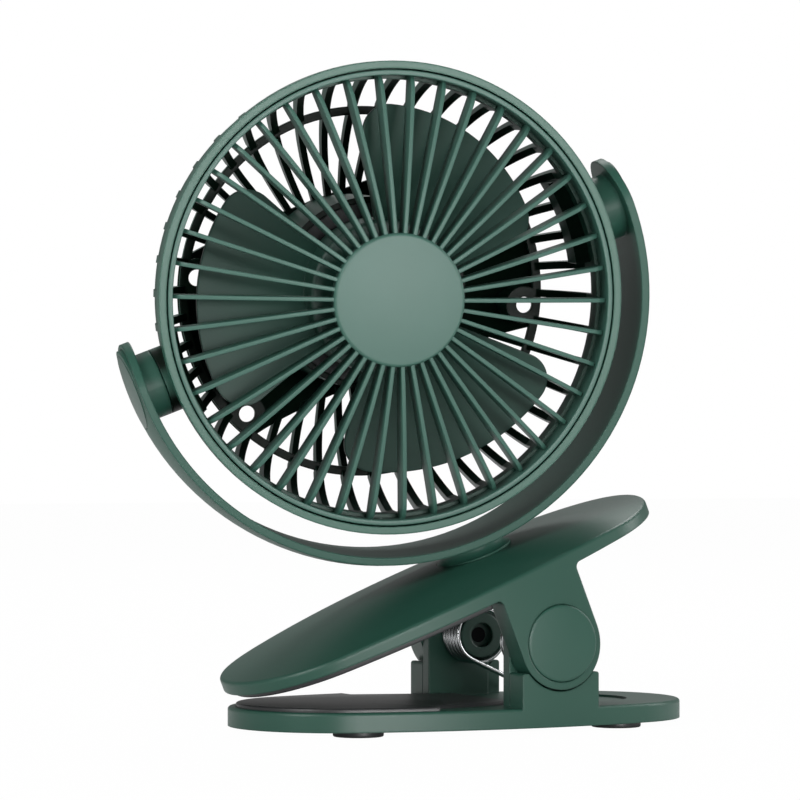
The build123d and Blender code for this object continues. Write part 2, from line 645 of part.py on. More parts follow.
# ================================================================ lever, which is the upper jaw
def crowned_lid(inset, drop):
    """The lever's body under its crowned top, with its sides drawn in and its top lowered.

    The top is a barrel: an arc along the lever, turned about an axis far below it. The arc is drawn
    on the barrel's far side, so that its seam stays away from the lid."""
    cross_radius = LEVER_CROSS_RADIUS - drop
    long_radius = LEVER_LONG_RADIUS - drop
    axis_height = LEVER_CROWN - LEVER_CROSS_RADIUS
    reach = LEVER_HALF_LENGTH + LEVER_WALL
    fall = long_radius - math.sqrt(long_radius**2 - reach**2)
    with BuildPart() as lid:
        with BuildSketch(LID.offset(LEVER_FLOOR)):
            lever_oval(inset)
        extrude(amount=LEVER_CROWN - LEVER_FLOOR)
        with BuildSketch(LID_SECTION):
            with BuildLine():
                Polyline(
                    (-reach, axis_height - cross_radius + fall),
                    (-reach, axis_height),
                    (reach, axis_height),
                    (reach, axis_height - cross_radius + fall),
                )
                ThreePointArc(
                    (reach, axis_height - cross_radius + fall),
                    (0, axis_height - cross_radius),
                    (-reach, axis_height - cross_radius + fall),
                )
            make_face()
        revolve(axis=Axis(LEVER_MIDDLE + SWIVEL_UP * axis_height, LEVER_ALONG), mode=Mode.INTERSECT)
    return lid.part


# Two ears that hang from the lever's sides, round at the hinge and filleted where they meet it.
with BuildPart() as ear_pair:
    with BuildSketch(LEVER_SECTION) as ear_outline:
        Circle(EAR_HALF_WIDTH)
        with Locations((0, LEVER_FLOOR / 2)):
            Rectangle(2 * EAR_HALF_WIDTH, LEVER_FLOOR)
        with Locations((0, LEVER_FLOOR + EAR_ROOT_HEIGHT / 2)):
            Rectangle(2 * EAR_ROOT_HALF_WIDTH, EAR_ROOT_HEIGHT)
        ear_corners = ear_outline.vertices().filter_by(
            lambda corner: abs(abs(corner.X) - EAR_HALF_WIDTH) < 0.01 and corner.Y > LEVER_FLOOR / 2
        )
        fillet(ear_corners, EAR_FILLET)
    extrude(amount=LEVER_HALF_WIDTH, both=True)
    with BuildSketch(LID.offset(-EAR_HALF_WIDTH)):
        lever_oval()
        Rectangle(2 * LEVER_HALF_LENGTH, 2 * POST_INNER_Y, mode=Mode.SUBTRACT)
    extrude(amount=EAR_HALF_WIDTH + LEVER_FLOOR + EAR_ROOT_HEIGHT, mode=Mode.INTERSECT)

with BuildPart() as lever_shell:
    add(crowned_lid(0, 0))
    fillet(lever_shell.faces().sort_by(SWIVEL_AXIS)[-1].edges(), LEVER_EDGE_RADIUS)
    add(crowned_lid(LEVER_WALL, LEVER_LID_WALL), mode=Mode.SUBTRACT)
    add(ear_pair.part)
    # Screw bosses and the swivel boss, which hang from the lid.
    with BuildSketch(LID.offset(LEVER_FLOOR + LEVER_FLOOR_THICKNESS)):
        with GridLocations(LEVER_SCREW_SPACING_X, LEVER_SCREW_SPACING_Y, 2, 2):
            Circle(SCREW_BOSS_RADIUS)
    extrude(amount=LEVER_SCREW_BOSS_TOP - LEVER_FLOOR - LEVER_FLOOR_THICKNESS)
    with BuildSketch(LEVER.offset(SWIVEL_BOSS_FACE)):
        Circle(SWIVEL_BOSS_RADIUS)
    extrude(amount=LEVER_CROWN - LEVER_LID_WALL - SWIVEL_BOSS_FACE)
    with BuildSketch(LID.offset(LEVER_FLOOR)):
        with GridLocations(LEVER_SCREW_SPACING_X, LEVER_SCREW_SPACING_Y, 2, 2):
            Circle(SCREW_RADIUS + PRESSED_CLEARANCE)
    extrude(amount=SCREW_LENGTH + FIT_GAP, mode=Mode.SUBTRACT)
    # The neck turns in a shallow well, round a hole for its stem.
    with BuildSketch(LEVER.offset(WELL_FLOOR)):
        Circle(NECK_FLANGE_RADIUS + SEAM)
    extrude(amount=LEVER_CROWN - WELL_FLOOR, mode=Mode.SUBTRACT)
    with BuildSketch(LEVER.offset(LEVER_FLOOR)):
        Circle(STEM_RADIUS + PIN_CLEARANCE)
    extrude(amount=LEVER_CROWN - LEVER_FLOOR, mode=Mode.SUBTRACT)
    # Hinge bores, with recesses for the pins' heads and seats for the caps.
    for side in (1, -1):
        ear_steps = (
            (POST_INNER_Y, PIN_RADIUS + PIN_CLEARANCE),
            (PIN_HEAD_Y - SEAT_GAP, PIN_HEAD_RADIUS + SEAT_GAP),
            (HINGE_CAP_SEAT_Y, HINGE_CAP_RADIUS + SEAM),
        )
        for step_y, step_radius in ear_steps:
            with BuildSketch(LEVER_SECTION.offset(side * step_y)):
                Circle(step_radius)
            extrude(amount=side * (LEVER_HALF_WIDTH - step_y), mode=Mode.SUBTRACT)
lever_shell.part.label = "lever_shell"
export_step(lever_shell.part, "parts/lever_shell.step")

with BuildPart() as lever_floor:
    with BuildSketch(LID.offset(LEVER_FLOOR)):
        lever_oval(LEVER_WALL + SEAM)
        for side in (1, -1):
            with Locations((-LEVER_CENTRE, side * (POST_INNER_Y - SEAM))):
                Rectangle(
                    2 * (EAR_ROOT_HALF_WIDTH + SEAM), LEVER_HALF_WIDTH,
                    align=(Align.CENTER, Align.MIN if side > 0 else Align.MAX), mode=Mode.SUBTRACT,
                )
    extrude(amount=LEVER_FLOOR_THICKNESS)
    screw_seats(
        LID.offset(LEVER_FLOOR), LEVER_FLOOR_THICKNESS, LEVER_SCREW_SPACING_X, LEVER_SCREW_SPACING_Y
    )
lever_floor.part.label = "lever_floor"
export_step(lever_floor.part, "parts/lever_floor.step")

with BuildPart() as lever_screws:
    flat_screws(LID.offset(LEVER_FLOOR), LEVER_SCREW_SPACING_X, LEVER_SCREW_SPACING_Y)
lever_screws.part.label = "lever_screws"
export_step(lever_screws.part, "parts/lever_screws.step")

with BuildPart() as upper_jaw_pad:
    with BuildSketch(LID.offset(LEVER_FLOOR)):
        lever_oval(PAD_INSET)
        with Locations((UPPER_PAD_END - LEVER_CENTRE, 0)):
            Rectangle(
                2 * LEVER_HALF_LENGTH, 2 * LEVER_HALF_WIDTH, align=(Align.MIN, Align.CENTER),
                mode=Mode.SUBTRACT,
            )
    extrude(amount=-UPPER_PAD_THICKNESS)
upper_jaw_pad.part.label = "upper_jaw_pad"
export_step(upper_jaw_pad.part, "parts/upper_jaw_pad.step")

with BuildPart() as hinge_caps:
    for side in (1, -1):
        with BuildSketch(LEVER_SECTION.offset(side * HINGE_CAP_SEAT_Y)):
            Circle(HINGE_CAP_RADIUS)
        extrude(amount=side * (LEVER_HALF_WIDTH - HINGE_CAP_SEAT_Y))
    with BuildSketch(LID.offset(-EAR_HALF_WIDTH)):
        lever_oval()
    extrude(amount=2 * EAR_HALF_WIDTH, mode=Mode.INTERSECT)
hinge_caps.part.label = "hinge_caps"
export_step(hinge_caps.part, "parts/hinge_caps.step")


# ================================================================ yoke
def yoke_band(inner_radius, outer_radius, crown, inset):
    """A strip of the yoke: part of a hoop about the fan's axis, with round ends at the pivots."""
    half_width = YOKE_WIDTH / 2 - inset
    with BuildPart() as band:
        with BuildSketch(PIVOT_END):
            Circle(half_width)
        extrude(amount=outer_radius + crown, both=True)
        with BuildSketch(HEAD):
            with Locations((0, -outer_radius)):
                Rectangle(2 * outer_radius + YOKE_WIDTH, 2 * outer_radius)
        extrude(amount=half_width, both=True)
        with BuildSketch(TOP_SECTION):
            with BuildLine():
                Polyline(
                    (outer_radius, -half_width),
                    (inner_radius, -half_width),
                    (inner_radius, half_width),
                    (outer_radius, half_width),
                )
                ThreePointArc(
                    (outer_radius, half_width), (outer_radius + crown, 0), (outer_radius, -half_width)
                )
            make_face()
        revolve(axis=FAN_AXIS, mode=Mode.INTERSECT)
    return band.part


with BuildPart() as yoke_arm:
    add(yoke_band(YOKE_INNER_RADIUS, YOKE_OUTER_RADIUS, SEAT_GAP, 0))
    add(
        yoke_band(YOKE_CHANNEL_RADIUS, YOKE_OUTER_RADIUS + YOKE_CROWN, YOKE_CROWN, YOKE_LIP),
        mode=Mode.SUBTRACT,
    )
    for side in (1, -1):
        with BuildSketch(PIVOT_END.offset(side * YOKE_KNUCKLE_FACE)):
            Circle(KNUCKLE_RADIUS)
        extrude(amount=side * (YOKE_INNER_RADIUS - YOKE_KNUCKLE_FACE + KNUCKLE_SINK))
        with BuildSketch(PIVOT_END.offset(side * YOKE_KNUCKLE_FACE)):
            Circle(PIVOT_SCREW_RADIUS + PIN_CLEARANCE)
        extrude(amount=side * (YOKE_OUTER_RADIUS - YOKE_KNUCKLE_FACE), mode=Mode.SUBTRACT)
        with BuildSketch(PIVOT_END.offset(side * (PIVOT_HEAD_SEAT - SEAT_GAP))):
            Circle(PIVOT_SCREW_HEAD_RADIUS + SEAT_GAP)
        extrude(amount=side * (YOKE_OUTER_RADIUS - PIVOT_HEAD_SEAT), mode=Mode.SUBTRACT)
    # The neck: a flared flange that turns in the lever's well, and the stem below it.
    with BuildSketch(LEVER_SECTION):
        with BuildLine():
            Polyline(
                (0, NECK_TOP),
                (0, STEM_END),
                (STEM_RADIUS, STEM_END),
                (STEM_RADIUS, NECK_BOTTOM),
                (NECK_FLANGE_RADIUS, NECK_BOTTOM),
                (NECK_FLANGE_RADIUS, NECK_BOTTOM + NECK_STRAIGHT),
            )
            RadiusArc(
                (NECK_FLANGE_RADIUS, NECK_BOTTOM + NECK_STRAIGHT),
                (NECK_RADIUS, NECK_BOTTOM + NECK_FLARE_HEIGHT),
                NECK_FLARE_HEIGHT,
            )
            Polyline((NECK_RADIUS, NECK_BOTTOM + NECK_FLARE_HEIGHT), (NECK_RADIUS, NECK_TOP), (0, NECK_TOP))
        make_face()
    revolve(axis=SWIVEL_AXIS)
    with BuildSketch(LEVER.offset(STEM_END)):
        Circle(SWIVEL_SCREW_RADIUS + PRESSED_CLEARANCE)
    extrude(amount=SWIVEL_SCREW_LENGTH, mode=Mode.SUBTRACT)
yoke_arm.part.label = "yoke_arm"
export_step(yoke_arm.part, "parts/yoke_arm.step")

with BuildPart() as yoke_cover:
    add(yoke_band(YOKE_CHANNEL_RADIUS + SEAT_GAP, YOKE_OUTER_RADIUS, YOKE_CROWN, YOKE_LIP + SEAM))
    for side in (1, -1):
        with BuildSketch(PIVOT_END):
            Circle(END_CAP_RADIUS + SEAM)
        extrude(amount=side * (YOKE_OUTER_RADIUS + YOKE_CROWN), mode=Mode.SUBTRACT)
    with BuildSketch(LEVER.offset(LEVER_CROWN)):
        Circle(NECK_RADIUS + SEAM)
    extrude(amount=PIVOT_HEIGHT - LEVER_CROWN, mode=Mode.SUBTRACT)
yoke_cover.part.label = "yoke_cover"
export_step(yoke_cover.part, "parts/yoke_cover.step")

with BuildPart() as yoke_end_caps:
    add(yoke_band(YOKE_CHANNEL_RADIUS + SEAT_GAP, YOKE_OUTER_RADIUS, YOKE_CROWN, 0))
    with BuildSketch(PIVOT_END):
        Circle(END_CAP_RADIUS)
    extrude(amount=YOKE_OUTER_RADIUS + YOKE_CROWN, both=True, mode=Mode.INTERSECT)
yoke_end_caps.part.label = "yoke_end_caps"
export_step(yoke_end_caps.part, "parts/yoke_end_caps.step")

with BuildPart() as swivel_washer:
    with BuildSketch(LEVER.offset(STEM_END - WASHER_THICKNESS)):
        Circle(WASHER_RADIUS)
        Circle(SWIVEL_SCREW_RADIUS + PIN_CLEARANCE, mode=Mode.SUBTRACT)
    extrude(amount=WASHER_THICKNESS)
swivel_washer.part.label = "swivel_washer"
export_step(swivel_washer.part, "parts/swivel_washer.step")

with BuildPart() as swivel_screw:
    with BuildSketch(LEVER.offset(STEM_END - WASHER_THICKNESS)):
        Circle(SWIVEL_SCREW_RADIUS)
    extrude(amount=SWIVEL_SCREW_LENGTH)
    with BuildSketch(LEVER.offset(STEM_END - WASHER_THICKNESS)):
        Circle(SWIVEL_HEAD_RADIUS)
    extrude(amount=-SWIVEL_HEAD_HEIGHT)
swivel_screw.part.label = "swivel_screw"
export_step(swivel_screw.part, "parts/swivel_screw.step")


# ================================================================ head
def radial_plane(angle):
    """Plane through the fan's axis: x outwards, at an angle counted from the right-hand pivot
    upwards, and y forwards."""
    turned = math.radians(angle)
    outwards = PIVOT_ALONG * math.cos(turned) + SWIVEL_UP * math.sin(turned)
    return Plane(origin=PIVOT_POINT, x_dir=outwards, z_dir=outwards.cross(FORWARDS))


# Half a pitch off the pivot axis, so that the fins lie evenly about it.
rib_planes = [radial_plane(RIB_PITCH * (index + 0.5)) for index in range(RIB_COUNT)]

with BuildPart() as front_grille:
    with BuildSketch(TOP_SECTION):
        with BuildLine():
            Polyline(
                (0, GRILLE_DISC_FRONT - GRILLE_DISC_THICKNESS),
                (GRILLE_HUB_INNER_RADIUS, GRILLE_DISC_FRONT - GRILLE_DISC_THICKNESS),
                (GRILLE_HUB_INNER_RADIUS, GRILLE_HUB_BACK),
                (GRILLE_DISC_RADIUS - FIN_SINK, GRILLE_HUB_BACK),
                (GRILLE_DISC_RADIUS, GRILLE_DISC_FRONT - FIN_SINK),
                (GRILLE_DISC_RADIUS - FIN_SINK, GRILLE_DISC_FRONT),
                (0, GRILLE_DISC_FRONT),
                close=True,
            )
        make_face()
    revolve(axis=FAN_AXIS)
    with BuildSketch(TOP_SECTION):
        with BuildLine():
            Polyline(
                (GRILLE_RING_INNER_RADIUS, SEAT_LEDGE + SEAT_GAP),
                (GRILLE_RING_RADIUS, SEAT_LEDGE + SEAT_GAP),
                (GRILLE_RING_RADIUS, RIM_FRONT),
                (GRILLE_RING_INNER_RADIUS, RIM_FRONT),
                close=True,
            )
        make_face()
    revolve(axis=FAN_AXIS)
    with BuildSketch(*rib_planes):
        with BuildLine():
            inner_radius = GRILLE_DISC_RADIUS - 2 * FIN_SINK
            outer_radius = (GRILLE_RING_INNER_RADIUS + GRILLE_RING_RADIUS) / 2
            fin_front = GRILLE_DISC_FRONT - FIN_SINK
            ThreePointArc(
                (inner_radius, fin_front),
                (
                    (inner_radius + FIN_BEND_RADIUS) / 2,
                    (fin_front + FIN_BEND_HEIGHT) / 2 + FIN_BOW,
                ),
                (FIN_BEND_RADIUS, FIN_BEND_HEIGHT),
            )
            ThreePointArc(
                (FIN_BEND_RADIUS, FIN_BEND_HEIGHT),
                (
                    (FIN_BEND_RADIUS + outer_radius) / 2 + FIN_BOW / 2,
                    (FIN_BEND_HEIGHT + FIN_OUTER_FRONT) / 2 + FIN_BOW / 2,
                ),
                (outer_radius, FIN_OUTER_FRONT),
            )
            Polyline(
                (outer_radius, FIN_OUTER_FRONT),
                (outer_radius, FIN_OUTER_BACK),
                (inner_radius, GRILLE_HUB_BACK + FIN_SINK),
                (inner_radius, fin_front),
            )
        make_face()
    extrude(amount=FIN_WIDTH / 2, both=True)
front_grille.part.label = "front_grille"
export_step(front_grille.part, "parts/front_grille.step")


def inwards(point, slope, depth):
    """The point of the basket's curve, moved into the basket square to the curve."""
    turned = math.radians(slope)
    return (point[0] - depth * math.sin(turned), point[1] + depth * math.cos(turned))


def bowl_curve(depth):
    """Three points of the bowl's arc from the ring to the housing, moved into the basket."""
    return (
        inwards(WAIST, WAIST_SLOPE, depth),
        inwards(BOWL, BOWL_SLOPE, depth),
        inwards(BOWL_END, BOWL_END_SLOPE, depth),
    )


def bowl_strip(outer_depth, inner_depth):
    """Adds the section of a strip between two depths in the bowl to a radial sketch."""
    outside = bowl_curve(outer_depth)
    inside = bowl_curve(inner_depth)
    with BuildLine() as strip:
        ThreePointArc(*outside)
        Line(outside[-1], inside[-1])
        ThreePointArc(*inside)
        Line(inside[0], outside[0])
    make_face(strip.edges())


# Inner ribs, above and below the solid band.
with BuildPart() as bowl_ribs:
    with BuildSketch(*rib_planes):
        bowl_strip(0, RIB_DEPTH)
    extrude(amount=REAR_RIB_WIDTH / 2, both=True)
    with BuildSketch(HEAD.offset(HOUSING_BACK)):
        Rectangle(2 * MID_RING_RADIUS + BOSS_RADIUS, 2 * (BAND_HALF_HEIGHT - REAR_RIB_WIDTH))
        Circle(HOUSING_RADIUS, mode=Mode.SUBTRACT)
    extrude(amount=-HOUSING_BACK, mode=Mode.SUBTRACT)

# The solid band along the pivot axis, with four open bosses that stand on it.
with BuildPart() as bowl_band:
    with BuildSketch(TOP_SECTION):
        bowl_strip(BAND_SINK, BAND_SINK + BAND_THICKNESS)
    revolve(axis=FAN_AXIS)
    with BuildSketch(HEAD.offset(HOUSING_BACK - BAND_THICKNESS)):
        Rectangle(2 * RIM_RADIUS, 2 * BAND_HALF_HEIGHT)
    extrude(amount=RIM_RADIUS, mode=Mode.INTERSECT)

# The bosses, cut off along the outside of the basket.
with BuildPart() as bowl_bosses:
    with BuildSketch(TOP_SECTION):
        with BuildLine():
            outside = bowl_curve(BAND_SINK)
            ThreePointArc(*outside)
            Polyline(
                outside[-1],
                (outside[-1][0], MID_RING_FRONT),
                ((MID_RING_RADIUS + MID_RING_INNER_RADIUS) / 2, MID_RING_FRONT),
                outside[0],
            )
        make_face()
    revolve(axis=FAN_AXIS)
    with BuildSketch(HEAD.offset(HOUSING_BACK)):
        with GridLocations(BOSS_SPACING_X, BOSS_SPACING_Y, 2, 2):
            Circle(BOSS_RADIUS)
    extrude(amount=MID_RING_FRONT - HOUSING_BACK, mode=Mode.INTERSECT)

# The blocks that carry the pivots: part of a stepped ring inside the wall.
with BuildPart() as pivot_blocks:
    with BuildSketch(TOP_SECTION):
        with BuildLine():
            block_radius = SIDE_WALL_RADIUS - SIDE_WALL / 3
            Polyline(
                (PIVOT_BLOCK_INNER_RADIUS, PIVOT_BLOCK_BACK),
                (PIVOT_BLOCK_INNER_RADIUS, PIVOT_BLOCK_STEP),
                PIVOT_BLOCK_TOP,
                (block_radius, PIVOT_BLOCK_TOP[1]),
                (block_radius, SIDE_WALL_BACK),
                (block_radius - PIVOT_BLOCK_TAPER, PIVOT_BLOCK_BACK),
                close=True,
            )
        make_face()
    revolve(axis=FAN_AXIS)
    with BuildSketch(HEAD.offset(PIVOT_BLOCK_BACK)):
        Rectangle(2 * RIM_RADIUS, 2 * PIVOT_BLOCK_HALF_HEIGHT)
    extrude(amount=SEAT_LEDGE - PIVOT_BLOCK_BACK, mode=Mode.INTERSECT)

with BuildPart() as rear_shell:
    # Rim and side wall, with the flange that the grille's ring sits on.
    with BuildSketch(TOP_SECTION):
        with BuildLine():
            Polyline(
                (RIM_INNER_RADIUS, RIM_FRONT),
                (RIM_RADIUS, RIM_FRONT),
                (RIM_RADIUS, RIM_STRAIGHT_END),
                (SIDE_WALL_RADIUS, RIM_TAPER_END),
                (SIDE_WALL_RADIUS, SIDE_WALL_BACK),
                (SIDE_WALL_RADIUS - SIDE_WALL, SIDE_WALL_BACK),
                (SIDE_WALL_RADIUS - SIDE_WALL, FLANGE_BACK),
                (FLANGE_INNER_RADIUS, FLANGE_BACK),
                (FLANGE_INNER_RADIUS, SEAT_LEDGE),
                (RIM_INNER_RADIUS, SEAT_LEDGE),
                close=True,
            )
        make_face()
    revolve(axis=FAN_AXIS)
    # Ring half-way in at the back, and the central housing with a ledge at each end.
    with BuildSketch(TOP_SECTION):
        with BuildLine():
            Polyline(
                (MID_RING_INNER_RADIUS, MID_RING_BACK),
                (MID_RING_RADIUS, MID_RING_BACK),
                (MID_RING_RADIUS, MID_RING_FRONT),
                (MID_RING_INNER_RADIUS, MID_RING_FRONT),
                close=True,
            )
        make_face()
    revolve(axis=FAN_AXIS)
    with BuildSketch(TOP_SECTION):
        with BuildLine():
            Polyline(
                (HOUSING_BORE, HOUSING_BACK),
                (HOUSING_RADIUS, HOUSING_BACK),
                (HOUSING_RADIUS, HOUSING_FRONT),
                (HOUSING_BORE, HOUSING_FRONT),
                (HOUSING_BORE, MOTOR_PLATE_BACK),
                (HOUSING_BORE - HOUSING_LEDGE, MOTOR_PLATE_BACK),
                (HOUSING_BORE - HOUSING_LEDGE, MOTOR_PLATE_BACK - HOUSING_LEDGE),
                (HOUSING_BORE, MOTOR_PLATE_BACK - HOUSING_LEDGE),
                (HOUSING_BORE, CAP_INNER_FACE + HOUSING_LEDGE),
                (HOUSING_BORE - HOUSING_LEDGE, CAP_INNER_FACE + HOUSING_LEDGE),
                (HOUSING_BORE - HOUSING_LEDGE, CAP_INNER_FACE),
                (HOUSING_BORE, CAP_INNER_FACE),
                close=True,
            )
        make_face()
    revolve(axis=FAN_AXIS)
    # Outer ribs, which curve from the ring round onto the side wall.
    with BuildSketch(*rib_planes):
        with BuildLine():
            wall_middle = SIDE_WALL_RADIUS - SIDE_WALL / 2
            bend_inner_radius = SIDE_RIB_RADIUS - RIB_DEPTH
            Polyline(
                (SIDE_WALL_RADIUS, SIDE_RIB_FRONT),
                (SIDE_RIB_RADIUS, SIDE_RIB_FRONT - RIB_DEPTH),
                (SIDE_RIB_RADIUS, SIDE_WALL_BACK),
            )
            ThreePointArc((SIDE_RIB_RADIUS, SIDE_WALL_BACK), SHOULDER, WAIST)
            Line(WAIST, inwards(WAIST, WAIST_SLOPE, RIB_DEPTH))
            ThreePointArc(
                inwards(WAIST, WAIST_SLOPE, RIB_DEPTH),
                inwards(SHOULDER, SHOULDER_SLOPE, RIB_DEPTH),
                (bend_inner_radius, SIDE_WALL_BACK),
            )
            Polyline(
                (bend_inner_radius, SIDE_WALL_BACK),
                (bend_inner_radius, FLANGE_BACK + SIDE_WALL / 2),
                (wall_middle, FLANGE_BACK + SIDE_WALL / 2),
                (SIDE_WALL_RADIUS, SIDE_RIB_FRONT),
            )
        make_face()
    extrude(amount=SIDE_RIB_WIDTH / 2, both=True)
    add(bowl_ribs.part)
    add(bowl_band.part)
    add(bowl_bosses.part)
    add(pivot_blocks.part)
    # Each boss has a small hole in its face and a wide bore behind it.
    with BuildSketch(HEAD.offset(MID_RING_FRONT)):
        with GridLocations(BOSS_SPACING_X, BOSS_SPACING_Y, 2, 2):
            Circle(BOSS_HOLE_RADIUS)
    extrude(amount=HOUSING_BACK - MID_RING_FRONT, mode=Mode.SUBTRACT)
    with BuildSketch(HEAD.offset(MID_RING_FRONT - BOSS_FACE_THICKNESS)):
        with GridLocations(BOSS_SPACING_X, BOSS_SPACING_Y, 2, 2):
            Circle(BOSS_BORE_RADIUS)
    extrude(amount=HOUSING_BACK - MID_RING_FRONT, mode=Mode.SUBTRACT)
    # Round knuckles where the head is pivoted.
    for side in (1, -1):
        with BuildSketch(PIVOT_END.offset(side * HEAD_KNUCKLE_START)):
            Circle(KNUCKLE_RADIUS)
        extrude(amount=side * (HEAD_KNUCKLE_FACE - HEAD_KNUCKLE_START))
        with BuildSketch(PIVOT_END.offset(side * (PIVOT_SCREW_END - FIT_GAP))):
            Circle(PIVOT_SCREW_RADIUS + PRESSED_CLEARANCE)
        extrude(amount=side * (HEAD_KNUCKLE_FACE - PIVOT_SCREW_END + FIT_GAP), mode=Mode.SUBTRACT)
    # Bosses inside the housing that the rear cap is screwed to.
    with BuildSketch(HEAD.offset(CAP_INNER_FACE)):
        with GridLocations(CAP_SCREW_SPACING, CAP_SCREW_SPACING, 2, 2):
            Circle(CAP_SCREW_BOSS_RADIUS)
        Circle(HOUSING_BORE + HOUSING_WALL / 2, mode=Mode.INTERSECT)
    extrude(amount=CAP_SCREW_BOSS_LENGTH)
    with BuildSketch(HEAD.offset(CAP_INNER_FACE)):
        with GridLocations(CAP_SCREW_SPACING, CAP_SCREW_SPACING, 2, 2):
            Circle(SCREW_RADIUS + PRESSED_CLEARANCE)
    extrude(amount=SCREW_LENGTH - REAR_CAP_THICKNESS + FIT_GAP, mode=Mode.SUBTRACT)
rear_shell.part.label = "rear_shell"
export_step(rear_shell.part, "parts/rear_shell.step")

with BuildPart() as rear_cap:
    with BuildSketch(HEAD.offset(HOUSING_BACK)):
        Circle(HOUSING_BORE - SEAM)
        Circle(BUTTON_RADIUS + BUTTON_GAP, mode=Mode.SUBTRACT)
        with Locations((0, -USB_OFFSET)):
            SlotOverall(USB_WIDTH + 2 * SEAM, USB_HEIGHT + 2 * SEAM, mode=Mode.SUBTRACT)
        with Locations((0, LENS_OFFSET)):
            Circle(LENS_RADIUS + SEAM, mode=Mode.SUBTRACT)
    extrude(amount=REAR_CAP_THICKNESS)
    screw_seats(HEAD.offset(HOUSING_BACK), REAR_CAP_THICKNESS, CAP_SCREW_SPACING, CAP_SCREW_SPACING)
    with BuildSketch(HEAD.offset(CAP_INNER_FACE)):
        with GridLocations(BOARD_POST_SPACING_X, BOARD_POST_SPACING_Y, 2, 2):
            Circle(BOARD_POST_RADIUS)
            Circle(BOARD_SCREW_RADIUS + PRESSED_CLEARANCE, mode=Mode.SUBTRACT)
    extrude(amount=BOARD_POST_LENGTH)
rear_cap.part.label = "rear_cap"
export_step(rear_cap.part, "parts/rear_cap.step")

with BuildPart() as rear_cap_screws:
    flat_screws(HEAD.offset(HOUSING_BACK), CAP_SCREW_SPACING, CAP_SCREW_SPACING)
rear_cap_screws.part.label = "rear_cap_screws"
export_step(rear_cap_screws.part, "parts/rear_cap_screws.step")

with BuildPart() as pivot_screws:
    for side in (1, -1):
        with BuildSketch(PIVOT_END.offset(side * PIVOT_SCREW_END)):
            Circle(PIVOT_SCREW_RADIUS)
        extrude(amount=side * (PIVOT_HEAD_SEAT - PIVOT_SCREW_END))
        with BuildSketch(PIVOT_END.offset(side * PIVOT_HEAD_SEAT)):
            Circle(PIVOT_SCREW_HEAD_RADIUS)
        extrude(amount=side * PIVOT_SCREW_HEAD_HEIGHT)
pivot_screws.part.label = "pivot_screws"
export_step(pivot_screws.part, "parts/pivot_screws.step")


# ================================================================ motor, battery and electronics
with BuildPart() as motor_plate:
    with BuildSketch(HEAD.offset(MOTOR_PLATE_BACK)):
        Circle(HOUSING_BORE - SEAM)
    extrude(amount=MOTOR_PLATE_THICKNESS)
    with BuildSketch(HEAD.offset(MOTOR_PLATE_BACK)):
        Circle(BEARING_TUBE_RADIUS)
    extrude(amount=BEARING_TUBE_FRONT - MOTOR_PLATE_BACK)
    with BuildSketch(HEAD.offset(MOTOR_PLATE_BACK)):
        Circle(BUSH_RADIUS + PRESSED_CLEARANCE)
    extrude(amount=BEARING_TUBE_FRONT - MOTOR_PLATE_BACK, mode=Mode.SUBTRACT)
motor_plate.part.label = "motor_plate"
export_step(motor_plate.part, "parts/motor_plate.step")

with BuildPart() as shaft_bushes:
    for bush_back in (MOTOR_PLATE_BACK, BEARING_TUBE_FRONT - BUSH_LENGTH):
        with BuildSketch(HEAD.offset(bush_back)):
            Circle(BUSH_RADIUS)
            Circle(SHAFT_RADIUS + SHAFT_CLEARANCE, mode=Mode.SUBTRACT)
        extrude(amount=BUSH_LENGTH)
shaft_bushes.part.label = "shaft_bushes"
export_step(shaft_bushes.part, "parts/shaft_bushes.step")

pole_middle = (STATOR_CORE_RADIUS + STATOR_RADIUS) / 2
with BuildPart() as stator_core:
    with BuildSketch(HEAD.offset(STATOR_BACK)):
        Circle(STATOR_CORE_RADIUS)
        with PolarLocations(pole_middle, STATOR_POLES):
            Rectangle(STATOR_RADIUS - STATOR_CORE_RADIUS + STATOR_SHOE_DEPTH, STATOR_POLE_WIDTH)
        with PolarLocations(STATOR_RADIUS - STATOR_SHOE_DEPTH / 2, STATOR_POLES):
            Rectangle(2 * STATOR_SHOE_DEPTH, STATOR_SHOE_WIDTH)
        Circle(STATOR_RADIUS, mode=Mode.INTERSECT)
        Circle(BEARING_TUBE_RADIUS + PRESSED_CLEARANCE, mode=Mode.SUBTRACT)
    extrude(amount=STATOR_FRONT - STATOR_BACK)
stator_core.part.label = "stator_core"
export_step(stator_core.part, "parts/stator_core.step")

winding_start = STATOR_CORE_RADIUS + WINDING_THICKNESS
winding_end = STATOR_RADIUS - 2 * STATOR_SHOE_DEPTH
with BuildPart() as stator_windings:
    with BuildSketch(HEAD.offset(STATOR_BACK - WINDING_THICKNESS)):
        with PolarLocations((winding_start + winding_end) / 2, STATOR_POLES):
            Rectangle(winding_end - winding_start, STATOR_POLE_WIDTH + 2 * WINDING_THICKNESS)
    extrude(amount=STATOR_FRONT - STATOR_BACK + 2 * WINDING_THICKNESS)
    with BuildSketch(HEAD.offset(STATOR_BACK)):
        with PolarLocations((winding_start + winding_end) / 2, STATOR_POLES):
            Rectangle(winding_end - winding_start, STATOR_POLE_WIDTH)
    extrude(amount=STATOR_FRONT - STATOR_BACK, mode=Mode.SUBTRACT)
stator_windings.part.label = "stator_windings"
export_step(stator_windings.part, "parts/stator_windings.step")

with BuildPart() as battery:
    with BuildSketch(HEAD.offset(MOTOR_PLATE_BACK - FIT_GAP)):
        RectangleRounded(BATTERY_LENGTH, BATTERY_WIDTH, BATTERY_CORNER_RADIUS)
    extrude(amount=-BATTERY_THICKNESS)
battery.part.label = "battery"
export_step(battery.part, "parts/battery.step")

